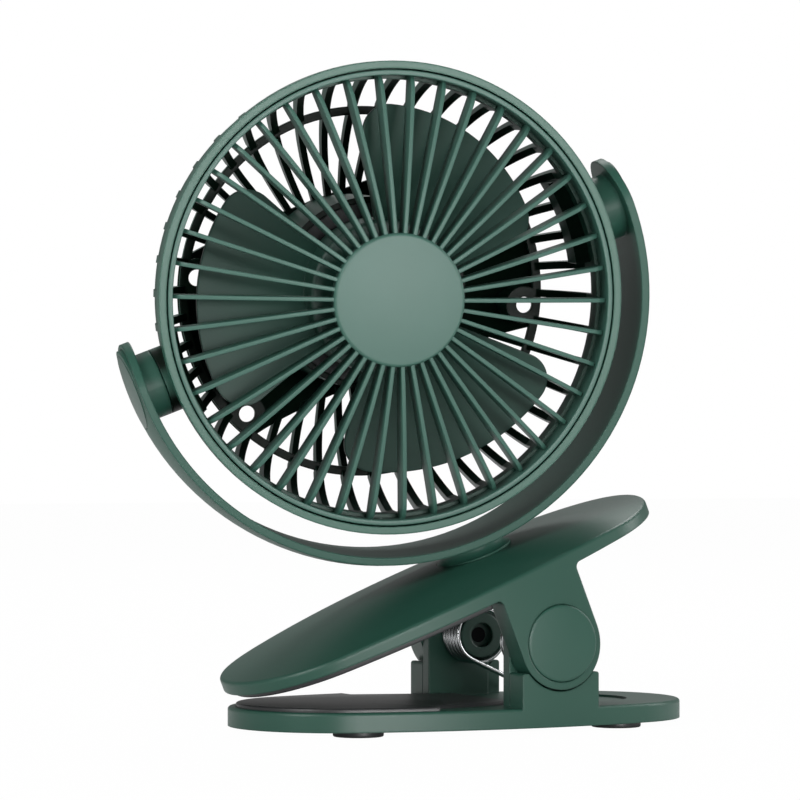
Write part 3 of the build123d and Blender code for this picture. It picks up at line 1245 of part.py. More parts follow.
with BuildPart() as circuit_board:
    with BuildSketch(HEAD.offset(BOARD_BACK)):
        Rectangle(2 * BOARD_HALF_LENGTH, 2 * BOARD_HALF_WIDTH)
        with GridLocations(BOARD_POST_SPACING_X, BOARD_POST_SPACING_Y, 2, 2):
            Circle(BOARD_SCREW_RADIUS + PIN_CLEARANCE, mode=Mode.SUBTRACT)
    extrude(amount=BOARD_THICKNESS)
circuit_board.part.label = "circuit_board"
export_step(circuit_board.part, "parts/circuit_board.step")

with BuildPart() as board_screws:
    with BuildSketch(HEAD.offset(BOARD_FRONT)):
        with GridLocations(BOARD_POST_SPACING_X, BOARD_POST_SPACING_Y, 2, 2):
            Circle(BOARD_SCREW_HEAD_RADIUS)
    extrude(amount=BOARD_SCREW_HEAD_HEIGHT)
    with BuildSketch(HEAD.offset(BOARD_FRONT)):
        with GridLocations(BOARD_POST_SPACING_X, BOARD_POST_SPACING_Y, 2, 2):
            Circle(BOARD_SCREW_RADIUS)
    extrude(amount=-BOARD_SCREW_LENGTH)
board_screws.part.label = "board_screws"
export_step(board_screws.part, "parts/board_screws.step")

with BuildPart() as tact_switch:
    with BuildSketch(HEAD.offset(BOARD_BACK)):
        Rectangle(SWITCH_SIZE, SWITCH_SIZE)
    extrude(amount=-SWITCH_HEIGHT)
    with BuildSketch(HEAD.offset(BOARD_BACK - SWITCH_HEIGHT)):
        Circle(SWITCH_PLUNGER_RADIUS)
    extrude(amount=-SWITCH_PLUNGER_HEIGHT)
tact_switch.part.label = "tact_switch"
export_step(tact_switch.part, "parts/tact_switch.step")

with BuildPart() as usb_socket:
    with BuildSketch(HEAD.offset(BOARD_BACK)):
        with Locations((0, -USB_OFFSET)):
            SlotOverall(USB_WIDTH, USB_HEIGHT)
    extrude(amount=HOUSING_BACK + USB_WALL - BOARD_BACK)
    with BuildSketch(HEAD.offset(HOUSING_BACK + USB_WALL)):
        with Locations((0, -USB_OFFSET)):
            SlotOverall(USB_WIDTH - 2 * USB_WALL, USB_HEIGHT - 2 * USB_WALL)
    extrude(amount=USB_DEPTH, mode=Mode.SUBTRACT)
    with BuildSketch(HEAD.offset(HOUSING_BACK + USB_WALL + USB_DEPTH)):
        with Locations((0, -USB_OFFSET)):
            Rectangle(USB_TONGUE_WIDTH, USB_TONGUE_HEIGHT)
    extrude(amount=-USB_TONGUE_LENGTH)
usb_socket.part.label = "usb_socket"
export_step(usb_socket.part, "parts/usb_socket.step")

with BuildPart() as indicator_lens:
    with BuildSketch(HEAD.offset(BOARD_BACK - SEAT_GAP)):
        with Locations((0, LENS_OFFSET)):
            Circle(LENS_RADIUS)
    extrude(amount=HOUSING_BACK - BOARD_BACK)
indicator_lens.part.label = "indicator_lens"
export_step(indicator_lens.part, "parts/indicator_lens.step")

with BuildPart() as power_button:
    with BuildSketch(HEAD.offset(CAP_INNER_FACE + SEAT_GAP)):
        Circle(BUTTON_FLANGE_RADIUS)
    extrude(amount=BUTTON_FLANGE_HEIGHT)
    with BuildSketch(HEAD.offset(CAP_INNER_FACE + SEAT_GAP)):
        Circle(BUTTON_RADIUS)
    extrude(amount=HOUSING_BACK - BUTTON_PROUD - CAP_INNER_FACE - SEAT_GAP)
    fillet(power_button.edges().sort_by(FAN_AXIS)[0], BUTTON_EDGE_RADIUS)
power_button.part.label = "power_button"
export_step(power_button.part, "parts/power_button.step")


# ================================================================ rotor
def blade(phase):
    """One blade: a thin helical sheet from the hub outwards, cut to its round-cornered outline."""
    spread = BLADE_SWEEP / 2
    thick = (BLADE_ROOT_THICKNESS, BLADE_TIP_THICKNESS)
    root_radius = HUB_INNER_RADIUS + HUB_WALL / 2
    leading, trailing = BLADE_LEADING_RADIUS, BLADE_TRAILING_RADIUS
    half_way = (leading + trailing) / 2
    with BuildPart() as sheet:
        for section in range(BLADE_SECTIONS):
            share = section / (BLADE_SECTIONS - 1)
            angle = phase + BLADE_SWEEP * (share - 0.5) * BLADE_OVERRUN
            root_height = BLADE_ROOT_BACK + (BLADE_ROOT_FRONT - BLADE_ROOT_BACK) * share
            tip_height = BLADE_TIP_BACK + (BLADE_TIP_FRONT - BLADE_TIP_BACK) * share
            with BuildSketch(radial_plane(angle)):
                with BuildLine():
                    Polyline(
                        (root_radius, root_height - thick[0] / 2),
                        (BLADE_TRAILING_RADIUS + HUB_WALL, tip_height - thick[1] / 2),
                        (BLADE_TRAILING_RADIUS + HUB_WALL, tip_height + thick[1] / 2),
                        (root_radius, root_height + thick[0] / 2),
                        close=True,
                    )
                make_face()
        loft()
        with BuildSketch(HEAD.offset(BLADE_TRIM_BACK)) as outline:
            with BuildLine():
                first = math.radians(phase - spread)
                last = math.radians(phase + spread)
                middle = math.radians(phase)
                inner_start = (root_radius * math.cos(first), root_radius * math.sin(first))
                outer_start = (leading * math.cos(first), leading * math.sin(first))
                outer_top = (half_way * math.cos(middle), half_way * math.sin(middle))
                outer_end = (trailing * math.cos(last), trailing * math.sin(last))
                inner_end = (root_radius * math.cos(last), root_radius * math.sin(last))
                inner_top = (root_radius * math.cos(middle), root_radius * math.sin(middle))
                Line(inner_start, outer_start)
                ThreePointArc(outer_start, outer_top, outer_end)
                Line(outer_end, inner_end)
                ThreePointArc(inner_end, inner_top, inner_start)
            make_face()
            tips = [
                corner for corner in outline.vertices()
                if math.hypot(corner.X, corner.Y) > (root_radius + BLADE_LEADING_RADIUS) / 2
            ]
            fillet(tips, BLADE_CORNER_RADIUS)
        extrude(amount=BLADE_TRIM_FRONT - BLADE_TRIM_BACK, mode=Mode.INTERSECT)
    return sheet.part


with BuildPart() as fan_rotor:
    for index in range(BLADE_COUNT):
        add(blade(BLADE_PHASE + index * 360 / BLADE_COUNT))
    with BuildSketch(HEAD.offset(HUB_BACK)):
        Circle(HUB_RADIUS)
    extrude(amount=HUB_FRONT - HUB_BACK)
    fillet(fan_rotor.edges().filter_by(GeomType.CIRCLE).sort_by(FAN_AXIS)[-1], HUB_EDGE_RADIUS)
    with BuildSketch(HEAD.offset(HUB_BACK)):
        Circle(HUB_INNER_RADIUS)
    extrude(amount=HUB_FRONT - HUB_WALL - HUB_BACK, mode=Mode.SUBTRACT)
    with BuildSketch(HEAD.offset(HUB_FRONT - HUB_WALL)):
        Circle(SHAFT_BOSS_RADIUS)
    extrude(amount=-SHAFT_BOSS_LENGTH)
    with BuildSketch(HEAD.offset(HUB_FRONT - HUB_WALL)):
        Circle(SHAFT_RADIUS + PRESSED_CLEARANCE)
    extrude(amount=-SHAFT_BOSS_LENGTH, mode=Mode.SUBTRACT)
fan_rotor.part.label = "fan_rotor"
export_step(fan_rotor.part, "parts/fan_rotor.step")

with BuildPart() as rotor_magnet:
    with BuildSketch(HEAD.offset(STATOR_BACK)):
        Circle(MAGNET_OUTER_RADIUS)
        Circle(MAGNET_INNER_RADIUS, mode=Mode.SUBTRACT)
    extrude(amount=STATOR_FRONT - STATOR_BACK)
rotor_magnet.part.label = "rotor_magnet"
export_step(rotor_magnet.part, "parts/rotor_magnet.step")

with BuildPart() as rotor_cup:
    with BuildSketch(HEAD.offset(STATOR_BACK)):
        Circle(MAGNET_OUTER_RADIUS + PRESSED_CLEARANCE + ROTOR_CUP_THICKNESS)
        Circle(MAGNET_OUTER_RADIUS + PRESSED_CLEARANCE, mode=Mode.SUBTRACT)
    extrude(amount=HUB_FRONT - HUB_WALL - STATOR_BACK)
rotor_cup.part.label = "rotor_cup"
export_step(rotor_cup.part, "parts/rotor_cup.step")

with BuildPart() as rotor_shaft:
    with BuildSketch(HEAD.offset(MOTOR_PLATE_BACK + FIT_GAP)):
        Circle(SHAFT_RADIUS)
    extrude(amount=HUB_FRONT - HUB_WALL - MOTOR_PLATE_BACK - FIT_GAP)
rotor_shaft.part.label = "rotor_shaft"
export_step(rotor_shaft.part, "parts/rotor_shaft.step")
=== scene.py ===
"""A small clip fan in dark green moulded plastic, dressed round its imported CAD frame.

Every length inside a class is in millimetres, and every angle in degrees unless its name says
radians. Meshes are worked out as numpy grids and put into Blender in metres.
"""

import json
import logging
import math
from collections.abc import Sequence
from dataclasses import dataclass, field
from enum import IntEnum

import bmesh
import bpy
import numpy as np
from mathutils import Matrix, Vector


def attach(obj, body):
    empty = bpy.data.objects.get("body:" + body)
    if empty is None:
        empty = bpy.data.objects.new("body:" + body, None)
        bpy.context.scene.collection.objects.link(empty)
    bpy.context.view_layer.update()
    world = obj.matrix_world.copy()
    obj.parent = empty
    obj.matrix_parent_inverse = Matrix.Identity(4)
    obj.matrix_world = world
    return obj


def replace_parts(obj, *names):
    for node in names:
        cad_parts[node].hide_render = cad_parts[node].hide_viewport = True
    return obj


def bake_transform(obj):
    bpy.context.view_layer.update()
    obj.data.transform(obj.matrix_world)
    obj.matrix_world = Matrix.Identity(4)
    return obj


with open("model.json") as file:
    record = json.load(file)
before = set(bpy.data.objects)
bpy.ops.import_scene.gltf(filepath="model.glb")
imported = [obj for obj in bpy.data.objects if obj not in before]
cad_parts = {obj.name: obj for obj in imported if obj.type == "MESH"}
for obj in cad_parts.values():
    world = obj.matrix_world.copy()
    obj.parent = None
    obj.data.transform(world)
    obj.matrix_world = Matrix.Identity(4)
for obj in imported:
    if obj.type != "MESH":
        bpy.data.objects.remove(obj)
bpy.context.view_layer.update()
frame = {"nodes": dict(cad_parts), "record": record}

LOG = logging.getLogger("clip_fan")
Array = np.ndarray
Point = tuple[float, float, float]
MM = 0.001

# Points closer than this, in metres, are one point of a piece.
SAME_POINT = 2e-6
# Edges that turn by more than this many degrees stay sharp.
SHARP_ANGLE = 32.0


# ------------------------------------------------------------------ axes and surfaces
@dataclass(frozen=True)
class Axes:
    """Right-handed axes that a sub-assembly is worked out in, in millimetres."""

    origin: Point
    x: Point
    y: Point
    z: Point

    def place(self, points: Array) -> Array:
        """Turns points along these axes into the object's own.

        Args:
            points: an array whose last side is x, y, z in millimetres.

        Returns:
            The same points in the object's axes, in metres.
        """
        return (points @ np.array([self.x, self.y, self.z]) + np.array(self.origin)) * MM


LEVER_LEAN = math.radians(22.0)
YOKE_TURN = math.radians(13.6)
PIVOT_HEIGHT = 119.3
HINGE = (17.2, 0.0, 28.4)
LEVER_X = (math.cos(LEVER_LEAN), 0.0, math.sin(LEVER_LEAN))
LEVER_UP = (-math.sin(LEVER_LEAN), 0.0, math.cos(LEVER_LEAN))
PIVOT = tuple(h + PIVOT_HEIGHT * u for h, u in zip(HINGE, LEVER_UP))
PIVOT_X = tuple(
    math.cos(YOKE_TURN) * a - math.sin(YOKE_TURN) * b for a, b in zip(LEVER_X, (0.0, 1.0, 0.0))
)
FORWARDS = tuple(
    -math.sin(YOKE_TURN) * a - math.cos(YOKE_TURN) * b for a, b in zip(LEVER_X, (0.0, 1.0, 0.0))
)
BASE = Axes((0.0, 0.0, 0.0), (1.0, 0.0, 0.0), (0.0, 1.0, 0.0), (0.0, 0.0, 1.0))
LEVER = Axes(HINGE, LEVER_X, (0.0, 1.0, 0.0), LEVER_UP)
HEAD = Axes(PIVOT, PIVOT_X, LEVER_UP, FORWARDS)


def circle_angles(steps: int) -> Array:
    """Evenly spaced angles of a full turn in radians, from 0 and without the last one."""
    return np.radians(360.0 * np.arange(steps) / steps)


def rounded(corners: Sequence[tuple[float, float, float]], steps: int = 4) -> Array:
    """A closed outline with its corners rounded.

    Each corner is swapped for an arc that is tangent to both of its sides: the arc's centre lies on
    the corner's bisector, and its points turn evenly from one side's normal to the other's.

    Args:
        corners: x, y and radius of each corner, in order.
        steps: points on each arc, less one.

    Returns:
        The outline's points, an array of n by 2.
    """
    spots = np.array([c[:2] for c in corners], float)
    radii = np.array([c[2] for c in corners], float)
    before = np.roll(spots, 1, axis=0) - spots
    after = np.roll(spots, -1, axis=0) - spots
    before /= np.linalg.norm(before, axis=1, keepdims=True)
    after /= np.linalg.norm(after, axis=1, keepdims=True)
    half = np.arccos(np.clip((before * after).sum(axis=1), -1.0, 1.0)) / 2.0
    reach = radii / np.tan(half)
    bisector = before + after
    bisector /= np.linalg.norm(bisector, axis=1, keepdims=True)
    centre = spots + bisector * (radii / np.sin(half))[:, None]
    first = spots + before * reach[:, None] - centre
    last = spots + after * reach[:, None] - centre
    share = np.linspace(0.0, 1.0, steps + 1)[None, :, None]
    sweep = (math.pi - 2.0 * half)[:, None, None]
    weight = np.sin(np.maximum(sweep, 1e-9))
    towards_first = np.sin((1 - share) * sweep) * first[:, None]
    towards_last = np.sin(share * sweep) * last[:, None]
    return (centre[:, None] + (towards_first + towards_last) / weight).reshape(-1, 2)


def turned(outline: Array, angles: Array) -> Array:
    """An outline of radius and height turned about the z axis.

    Args:
        outline: n by 2, radius and height.
        angles: the angles it is turned to, in radians.

    Returns:
        A grid of angles by outline points.
    """
    radius, height = outline[:, 0][None, :], outline[:, 1][None, :]
    turn = angles[:, None]
    return np.stack(
        [radius * np.cos(turn), radius * np.sin(turn), height + 0.0 * turn], axis=-1
    )


def carried(section: Array, path: Array, side: Array, up: Array) -> Array:
    """A flat outline carried along a path.

    Args:
        section: m by 2, along side and up.
        path: n by 3, the line it follows.
        side: n by 3, or 3, the outline's first direction at each point.
        up: n by 3, or 3, its second direction.

    Returns:
        A grid of path points by outline points.
    """
    side = np.broadcast_to(side, path.shape)
    up = np.broadcast_to(up, path.shape)
    return (
        path[:, None]
        + section[None, :, 0, None] * side[:, None]
        + section[None, :, 1, None] * up[:, None]
    )


def tube(path: Array, radius: float, around: int, reference: Array) -> Array:
    """A round tube along a path, its ring turned as little as the path allows.

    The ring's first direction starts square to the path and loses, at each point, the part that
    lies along the path there, so it never twists about it.

    Args:
        path: n by 3.
        radius: the tube's radius.
        around: points round the ring.
        reference: a direction that is not along the path's start.

    Returns:
        A grid of path points by ring points.
    """
    along = np.gradient(path, axis=0)
    along /= np.linalg.norm(along, axis=1, keepdims=True)
    side = np.empty_like(path)
    current = np.array(reference, float)
    for index, direction in enumerate(along):
        current = current - current @ direction * direction
        current /= np.linalg.norm(current)
        side[index] = current
    angles = circle_angles(around)
    ring = np.stack([np.cos(angles), np.sin(angles)], axis=-1) * radius
    return carried(ring, path, side, np.cross(along, side))


@dataclass
class Skin:
    """Grids of points gathered into one mesh piece."""

    axes: Axes
    points: list[Array] = field(default_factory=list)
    faces: list[Array] = field(default_factory=list)
    count: int = 0

    def _keep(self, points: Array) -> Array:
        """Stores points.

        Args:
            points: an array whose last side is x, y, z.

        Returns:
            The index of each point, in the same order.
        """
        flat = points.reshape(-1, 3)
        self.points.append(flat)
        index = self.count + np.arange(len(flat)).reshape(points.shape[:-1])
        self.count += len(flat)
        return index

    def sheet(self, grid: Array, wrap_rows: bool = False, wrap_columns: bool = True) -> "Skin":
        """Adds a grid of four-sided faces.

        Args:
            grid: rows by columns by 3.
            wrap_rows: joins the last row to the first.
            wrap_columns: joins the last column to the first.

        Returns:
            This skin.
        """
        index = self._keep(grid)
        if wrap_rows:
            index = np.concatenate([index, index[:1]], axis=0)
        if wrap_columns:
            index = np.concatenate([index, index[:, :1]], axis=1)
        corners = [index[:-1, :-1], index[:-1, 1:], index[1:, 1:], index[1:, :-1]]
        self.faces.append(np.stack(corners, axis=-1).reshape(-1, 4))
        return self

    def lid(self, loop: Array, peak: Array | None = None) -> "Skin":
        """Closes a loop with faces that meet at its middle.

        Args:
            loop: n by 3.
            peak: where they meet, or None for the loop's mean.

        Returns:
            This skin.
        """
        middle = loop.mean(axis=0) if peak is None else np.asarray(peak, float)
        rim = self._keep(loop)
        hub = self._keep(middle[None])
        after = np.roll(rim, -1)
        centre = np.broadcast_to(hub, rim.shape)
        self.faces.append(np.stack([rim, after, centre], axis=-1))
        return self

    def bar(self, grid: Array) -> "Skin":
        """Adds a grid that is closed round its columns, with a lid on its first and last row."""
        return self.sheet(grid).lid(grid[0]).lid(grid[-1])

    def piece(
        self,
        name: str,
        body: str | None,
        finish: bpy.types.Material,
        slot: str,
    ) -> bpy.types.Object:
        """Makes the mesh object, with its points merged and its faces turned outwards.

        Args:
            name: the piece's name.
            body: the CAD body it rides on, or None where it is blended between two.
            finish: its material.
            slot: the record's slot that the finish comes from; not used.

        Returns:
            The object.
        """
        mesh = bpy.data.meshes.new(name)
        spots = self.axes.place(np.concatenate(self.points))
        mesh.vertices.add(len(spots))
        mesh.vertices.foreach_set("co", spots.ravel())
        sizes = np.concatenate([np.full(len(f), f.shape[1]) for f in self.faces])
        corners = np.concatenate([f.ravel() for f in self.faces])
        mesh.loops.add(len(corners))
        mesh.loops.foreach_set("vertex_index", corners.astype(np.int32))
        mesh.polygons.add(len(sizes))
        starts = np.concatenate([[0], np.cumsum(sizes)[:-1]])
        mesh.polygons.foreach_set("loop_start", starts.astype(np.int32))
        mesh.update(calc_edges=True)
        mesh.validate()
        shape = bmesh.new()
        shape.from_mesh(mesh)
        bmesh.ops.remove_doubles(shape, verts=shape.verts, dist=SAME_POINT)
        bmesh.ops.recalc_face_normals(shape, faces=shape.faces)
        shape.to_mesh(mesh)
        shape.free()
        mesh.polygons.foreach_set("use_smooth", np.ones(len(mesh.polygons), bool))
        mesh.set_sharp_from_angle(angle=math.radians(SHARP_ANGLE))
        mesh.materials.append(finish)
        made = bpy.data.objects.new(name, mesh)
        bpy.context.scene.collection.objects.link(made)
        if body is not None:
            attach(made, body)
        LOG.info("%s: %d faces on %s", name, len(mesh.polygons), body)
        return made


# ------------------------------------------------------------------ finishes
class MixSocket(IntEnum):
    """A Mix node's inputs by place, because its number and colour inputs share their names."""

    SHARE = 0
    NUMBER_A = 2
    NUMBER_B = 3
    COLOUR_A = 6
    COLOUR_B = 7


# The output of a Mix node that holds the mixed colour.
MIXED_COLOUR = 2


def linear(colour: str) -> tuple[float, float, float, float]:
    """Turns an sRGB hex colour into the linear one that Blender's sockets hold."""
    parts = [int(colour[i : i + 2], 16) / 255.0 for i in (1, 3, 5)]
    return (*[p / 12.92 if p <= 0.04045 else ((p + 0.055) / 1.055) ** 2.4 for p in parts], 1.0)


def add_node(
    tree: bpy.types.NodeTree,
    kind: str,
    values: dict | None = None,
    links: dict | None = None,
    **settings: object,
) -> bpy.types.Node:
    """Adds a node with its settings, socket values and links.

    Args:
        tree: the node tree.
        kind: the node's type name.
        values: socket values by name or index.
        links: the output that feeds each socket, by name or index.
        settings: attributes of the node itself.

    Returns:
        The node.
    """
    made = tree.nodes.new(kind)
    for name, value in settings.items():
        setattr(made, name, value)
    for socket, value in (values or {}).items():
        made.inputs[socket].default_value = value
    for socket, output in (links or {}).items():
        tree.links.new(output, made.inputs[socket])
    return made


def blank_material(name: str) -> tuple[bpy.types.Material, bpy.types.NodeTree]:
    """Makes a material with an empty node tree.

    Args:
        name: the material's name.

    Returns:
        The material and its node tree.
    """
    made = bpy.data.materials.new(name)
    made.use_nodes = True
    made.node_tree.nodes.clear()
    return made, made.node_tree


@dataclass(frozen=True)
class Bowl:
    """How the bowl behind the rim differs: duller and darker, and painted darkest where it looks
    forwards, as painted shade for its deep inside.
    """

    outside: str
    inside: str
    start_mm: float
    fade_mm: float = 2.0
    facing: tuple[float, float] = (0.05, 0.4)
    inside_specular: float = 0.12


@dataclass(frozen=True)
class MouldedPlastic:
    """ABS moulded in a spark-eroded tool: an even matt skin with a very fine grain.

    The grain of such a tool is about 0.05 mm, too fine to show, so it is drawn at grain_mm. The
    flow marks are as wide as the stream of plastic that left them.
    """

    name: str
    colour: str
    shade: str
    roughness: float
    grain_mm: float = 0.45
    grain_height: float = 0.006
    specular: float = 0.5
    edge_mm: float = 0.8
    flow_mm: float = 26.3158
    ior: float = 1.53
    bowl: Bowl | None = None

    def build(self) -> bpy.types.Material:
        """Builds the material: two close shades in slow flow marks, and a bump from the grain.

        Returns:
            The material.
        """
        made, tree = blank_material(self.name)
        place = add_node(tree, "ShaderNodeTexCoord").outputs["Object"]
        flow = add_node(
            tree,
            "ShaderNodeTexNoise",
            {"Scale": 1.0 / (self.flow_mm * MM), "Detail": 3.0, "Roughness": 0.55},
            {"Vector": place},
        )
        grain = add_node(
            tree,
            "ShaderNodeTexNoise",
            {"Scale": 1.0 / (self.grain_mm * MM), "Detail": 2.0, "Roughness": 0.6},
            {"Vector": place},
        )
        colour = add_node(
            tree,
            "ShaderNodeMix",
            {MixSocket.COLOUR_A: linear(self.colour), MixSocket.COLOUR_B: linear(self.shade)},
            {MixSocket.SHARE: flow.outputs["Fac"]},
            data_type="RGBA",
        )
        rough = add_node(
            tree,
            "ShaderNodeMapRange",
            {"To Min": self.roughness - 0.05, "To Max": self.roughness + 0.05},
            {"Value": grain.outputs["Fac"]},
        )
        shown = colour.outputs[MIXED_COLOUR]
        varied = {}
        if self.bowl is not None:
            shown, varied["Specular IOR Level"] = self._behind_rim(self.bowl, tree, place, shown)
        edge = add_node(tree, "ShaderNodeBevel", {"Radius": self.edge_mm * MM}, samples=4)
        bump = add_node(
            tree,
            "ShaderNodeBump",
            {"Strength": 0.35, "Distance": self.grain_height * MM},
            {"Height": grain.outputs["Fac"], "Normal": edge.outputs[0]},
        )
        shader = add_node(
            tree,
            "ShaderNodeBsdfPrincipled",
            {"IOR": self.ior, "Specular IOR Level": self.specular},
            {"Base Color": shown, "Roughness": rough.outputs[0], "Normal": bump.outputs[0]} | varied,
        )
        add_node(tree, "ShaderNodeOutputMaterial", links={"Surface": shader.outputs[0]})
        return made

    def _behind_rim(
        self,
        bowl: Bowl,
        tree: bpy.types.NodeTree,
        place: bpy.types.NodeSocket,
        colour: bpy.types.NodeSocket,
    ) -> tuple[bpy.types.NodeSocket, bpy.types.NodeSocket]:
        """Changes the finish behind a depth on the fan's axis, and again where it faces forwards.

        The depth is the object's point, less the pivot, times the axis. A face looks forwards by its
        normal times the axis. Those faces are painted nearly black, as painted shade for the bowl's
        deep inside.

        Args:
            bowl: how the bowl differs from the rim.
            tree: the node tree.
            place: the output that holds the object's point.
            colour: the output that holds the colour in front.

        Returns:
            The outputs that hold the mixed colour and the mixed specular level.
        """
        from_pivot = add_node(
            tree,
            "ShaderNodeVectorMath",
            {1: tuple(p * MM for p in PIVOT)},
            {0: place},
            operation="SUBTRACT",
        )
        normal = add_node(tree, "ShaderNodeTexCoord").outputs["Normal"]
        shares = []
        for source, low, high in (
            (from_pivot.outputs[0], (bowl.start_mm - bowl.fade_mm) * MM, bowl.start_mm * MM),
            (normal, *bowl.facing),
        ):
            along = add_node(
                tree, "ShaderNodeVectorMath", {1: FORWARDS}, {0: source}, operation="DOT_PRODUCT"
            )
            share = add_node(
                tree,
                "ShaderNodeMapRange",
                {"From Min": low, "From Max": high},
                {"Value": along.outputs["Value"]},
                interpolation_type="SMOOTHSTEP",
            )
            shares.append(share.outputs[0])
        in_front, looks_forwards = shares
        # Painted shade: the bowl's forward-facing faces take the nearly black colour.
        behind = add_node(
            tree,
            "ShaderNodeMix",
            {MixSocket.COLOUR_A: linear(bowl.outside), MixSocket.COLOUR_B: linear(bowl.inside)},
            {MixSocket.SHARE: looks_forwards},
            data_type="RGBA",
        )
        mixed = add_node(
            tree,
            "ShaderNodeMix",
            links={
                MixSocket.SHARE: in_front,
                MixSocket.COLOUR_A: behind.outputs[MIXED_COLOUR],
                MixSocket.COLOUR_B: colour,
            },
            data_type="RGBA",
        )
        dull = add_node(
            tree,
            "ShaderNodeMix",
            {MixSocket.NUMBER_A: self.specular, MixSocket.NUMBER_B: bowl.inside_specular},
            {MixSocket.SHARE: looks_forwards},
        )
        shine = add_node(
            tree,
            "ShaderNodeMix",
            {MixSocket.NUMBER_B: self.specular},
            {MixSocket.SHARE: in_front, MixSocket.NUMBER_A: dull.outputs[0]},
        )
        return mixed.outputs[MIXED_COLOUR], shine.outputs[0]


@dataclass(frozen=True)
class Metal:
    """Bare metal with fine marks along its length or over its surface."""

    name: str
    colour: str
    shade: str
    roughness: float
    mark_mm: float = 0.5
    stretch: Point = (1.0, 1.0, 1.0)

    def build(self) -> bpy.types.Material:
        """Builds the material: drawn or ground marks vary the colour, roughness and bump.

        Returns:
            The material.
        """
        made, tree = blank_material(self.name)
        place = add_node(tree, "ShaderNodeTexCoord").outputs["Object"]
        spread = add_node(tree, "ShaderNodeMapping", {"Scale": self.stretch}, {"Vector": place})
        marks = add_node(
            tree,
            "ShaderNodeTexNoise",
            {"Scale": 1.0 / (self.mark_mm * MM), "Detail": 4.0, "Roughness": 0.6},
            {"Vector": spread.outputs[0]},
        )
        colour = add_node(
            tree,
            "ShaderNodeMix",
            {MixSocket.COLOUR_A: linear(self.colour), MixSocket.COLOUR_B: linear(self.shade)},
            {MixSocket.SHARE: marks.outputs["Fac"]},
            data_type="RGBA",
        )
        rough = add_node(
            tree,
            "ShaderNodeMapRange",
            {"To Min": self.roughness * 0.75, "To Max": self.roughness * 1.3},
            {"Value": marks.outputs["Fac"]},
        )
        bump = add_node(
            tree,
            "ShaderNodeBump",
            {"Strength": 0.2, "Distance": 0.01 * MM},
            {"Height": marks.outputs["Fac"]},
        )
        shader = add_node(
            tree,
            "ShaderNodeBsdfPrincipled",
            {"Metallic": 1.0},
            {
                "Base Color": colour.outputs[MIXED_COLOUR],
                "Roughness": rough.outputs[0],
                "Normal": bump.outputs[0],
            },
        )
        add_node(tree, "ShaderNodeOutputMaterial", links={"Surface": shader.outputs[0]})
        return made


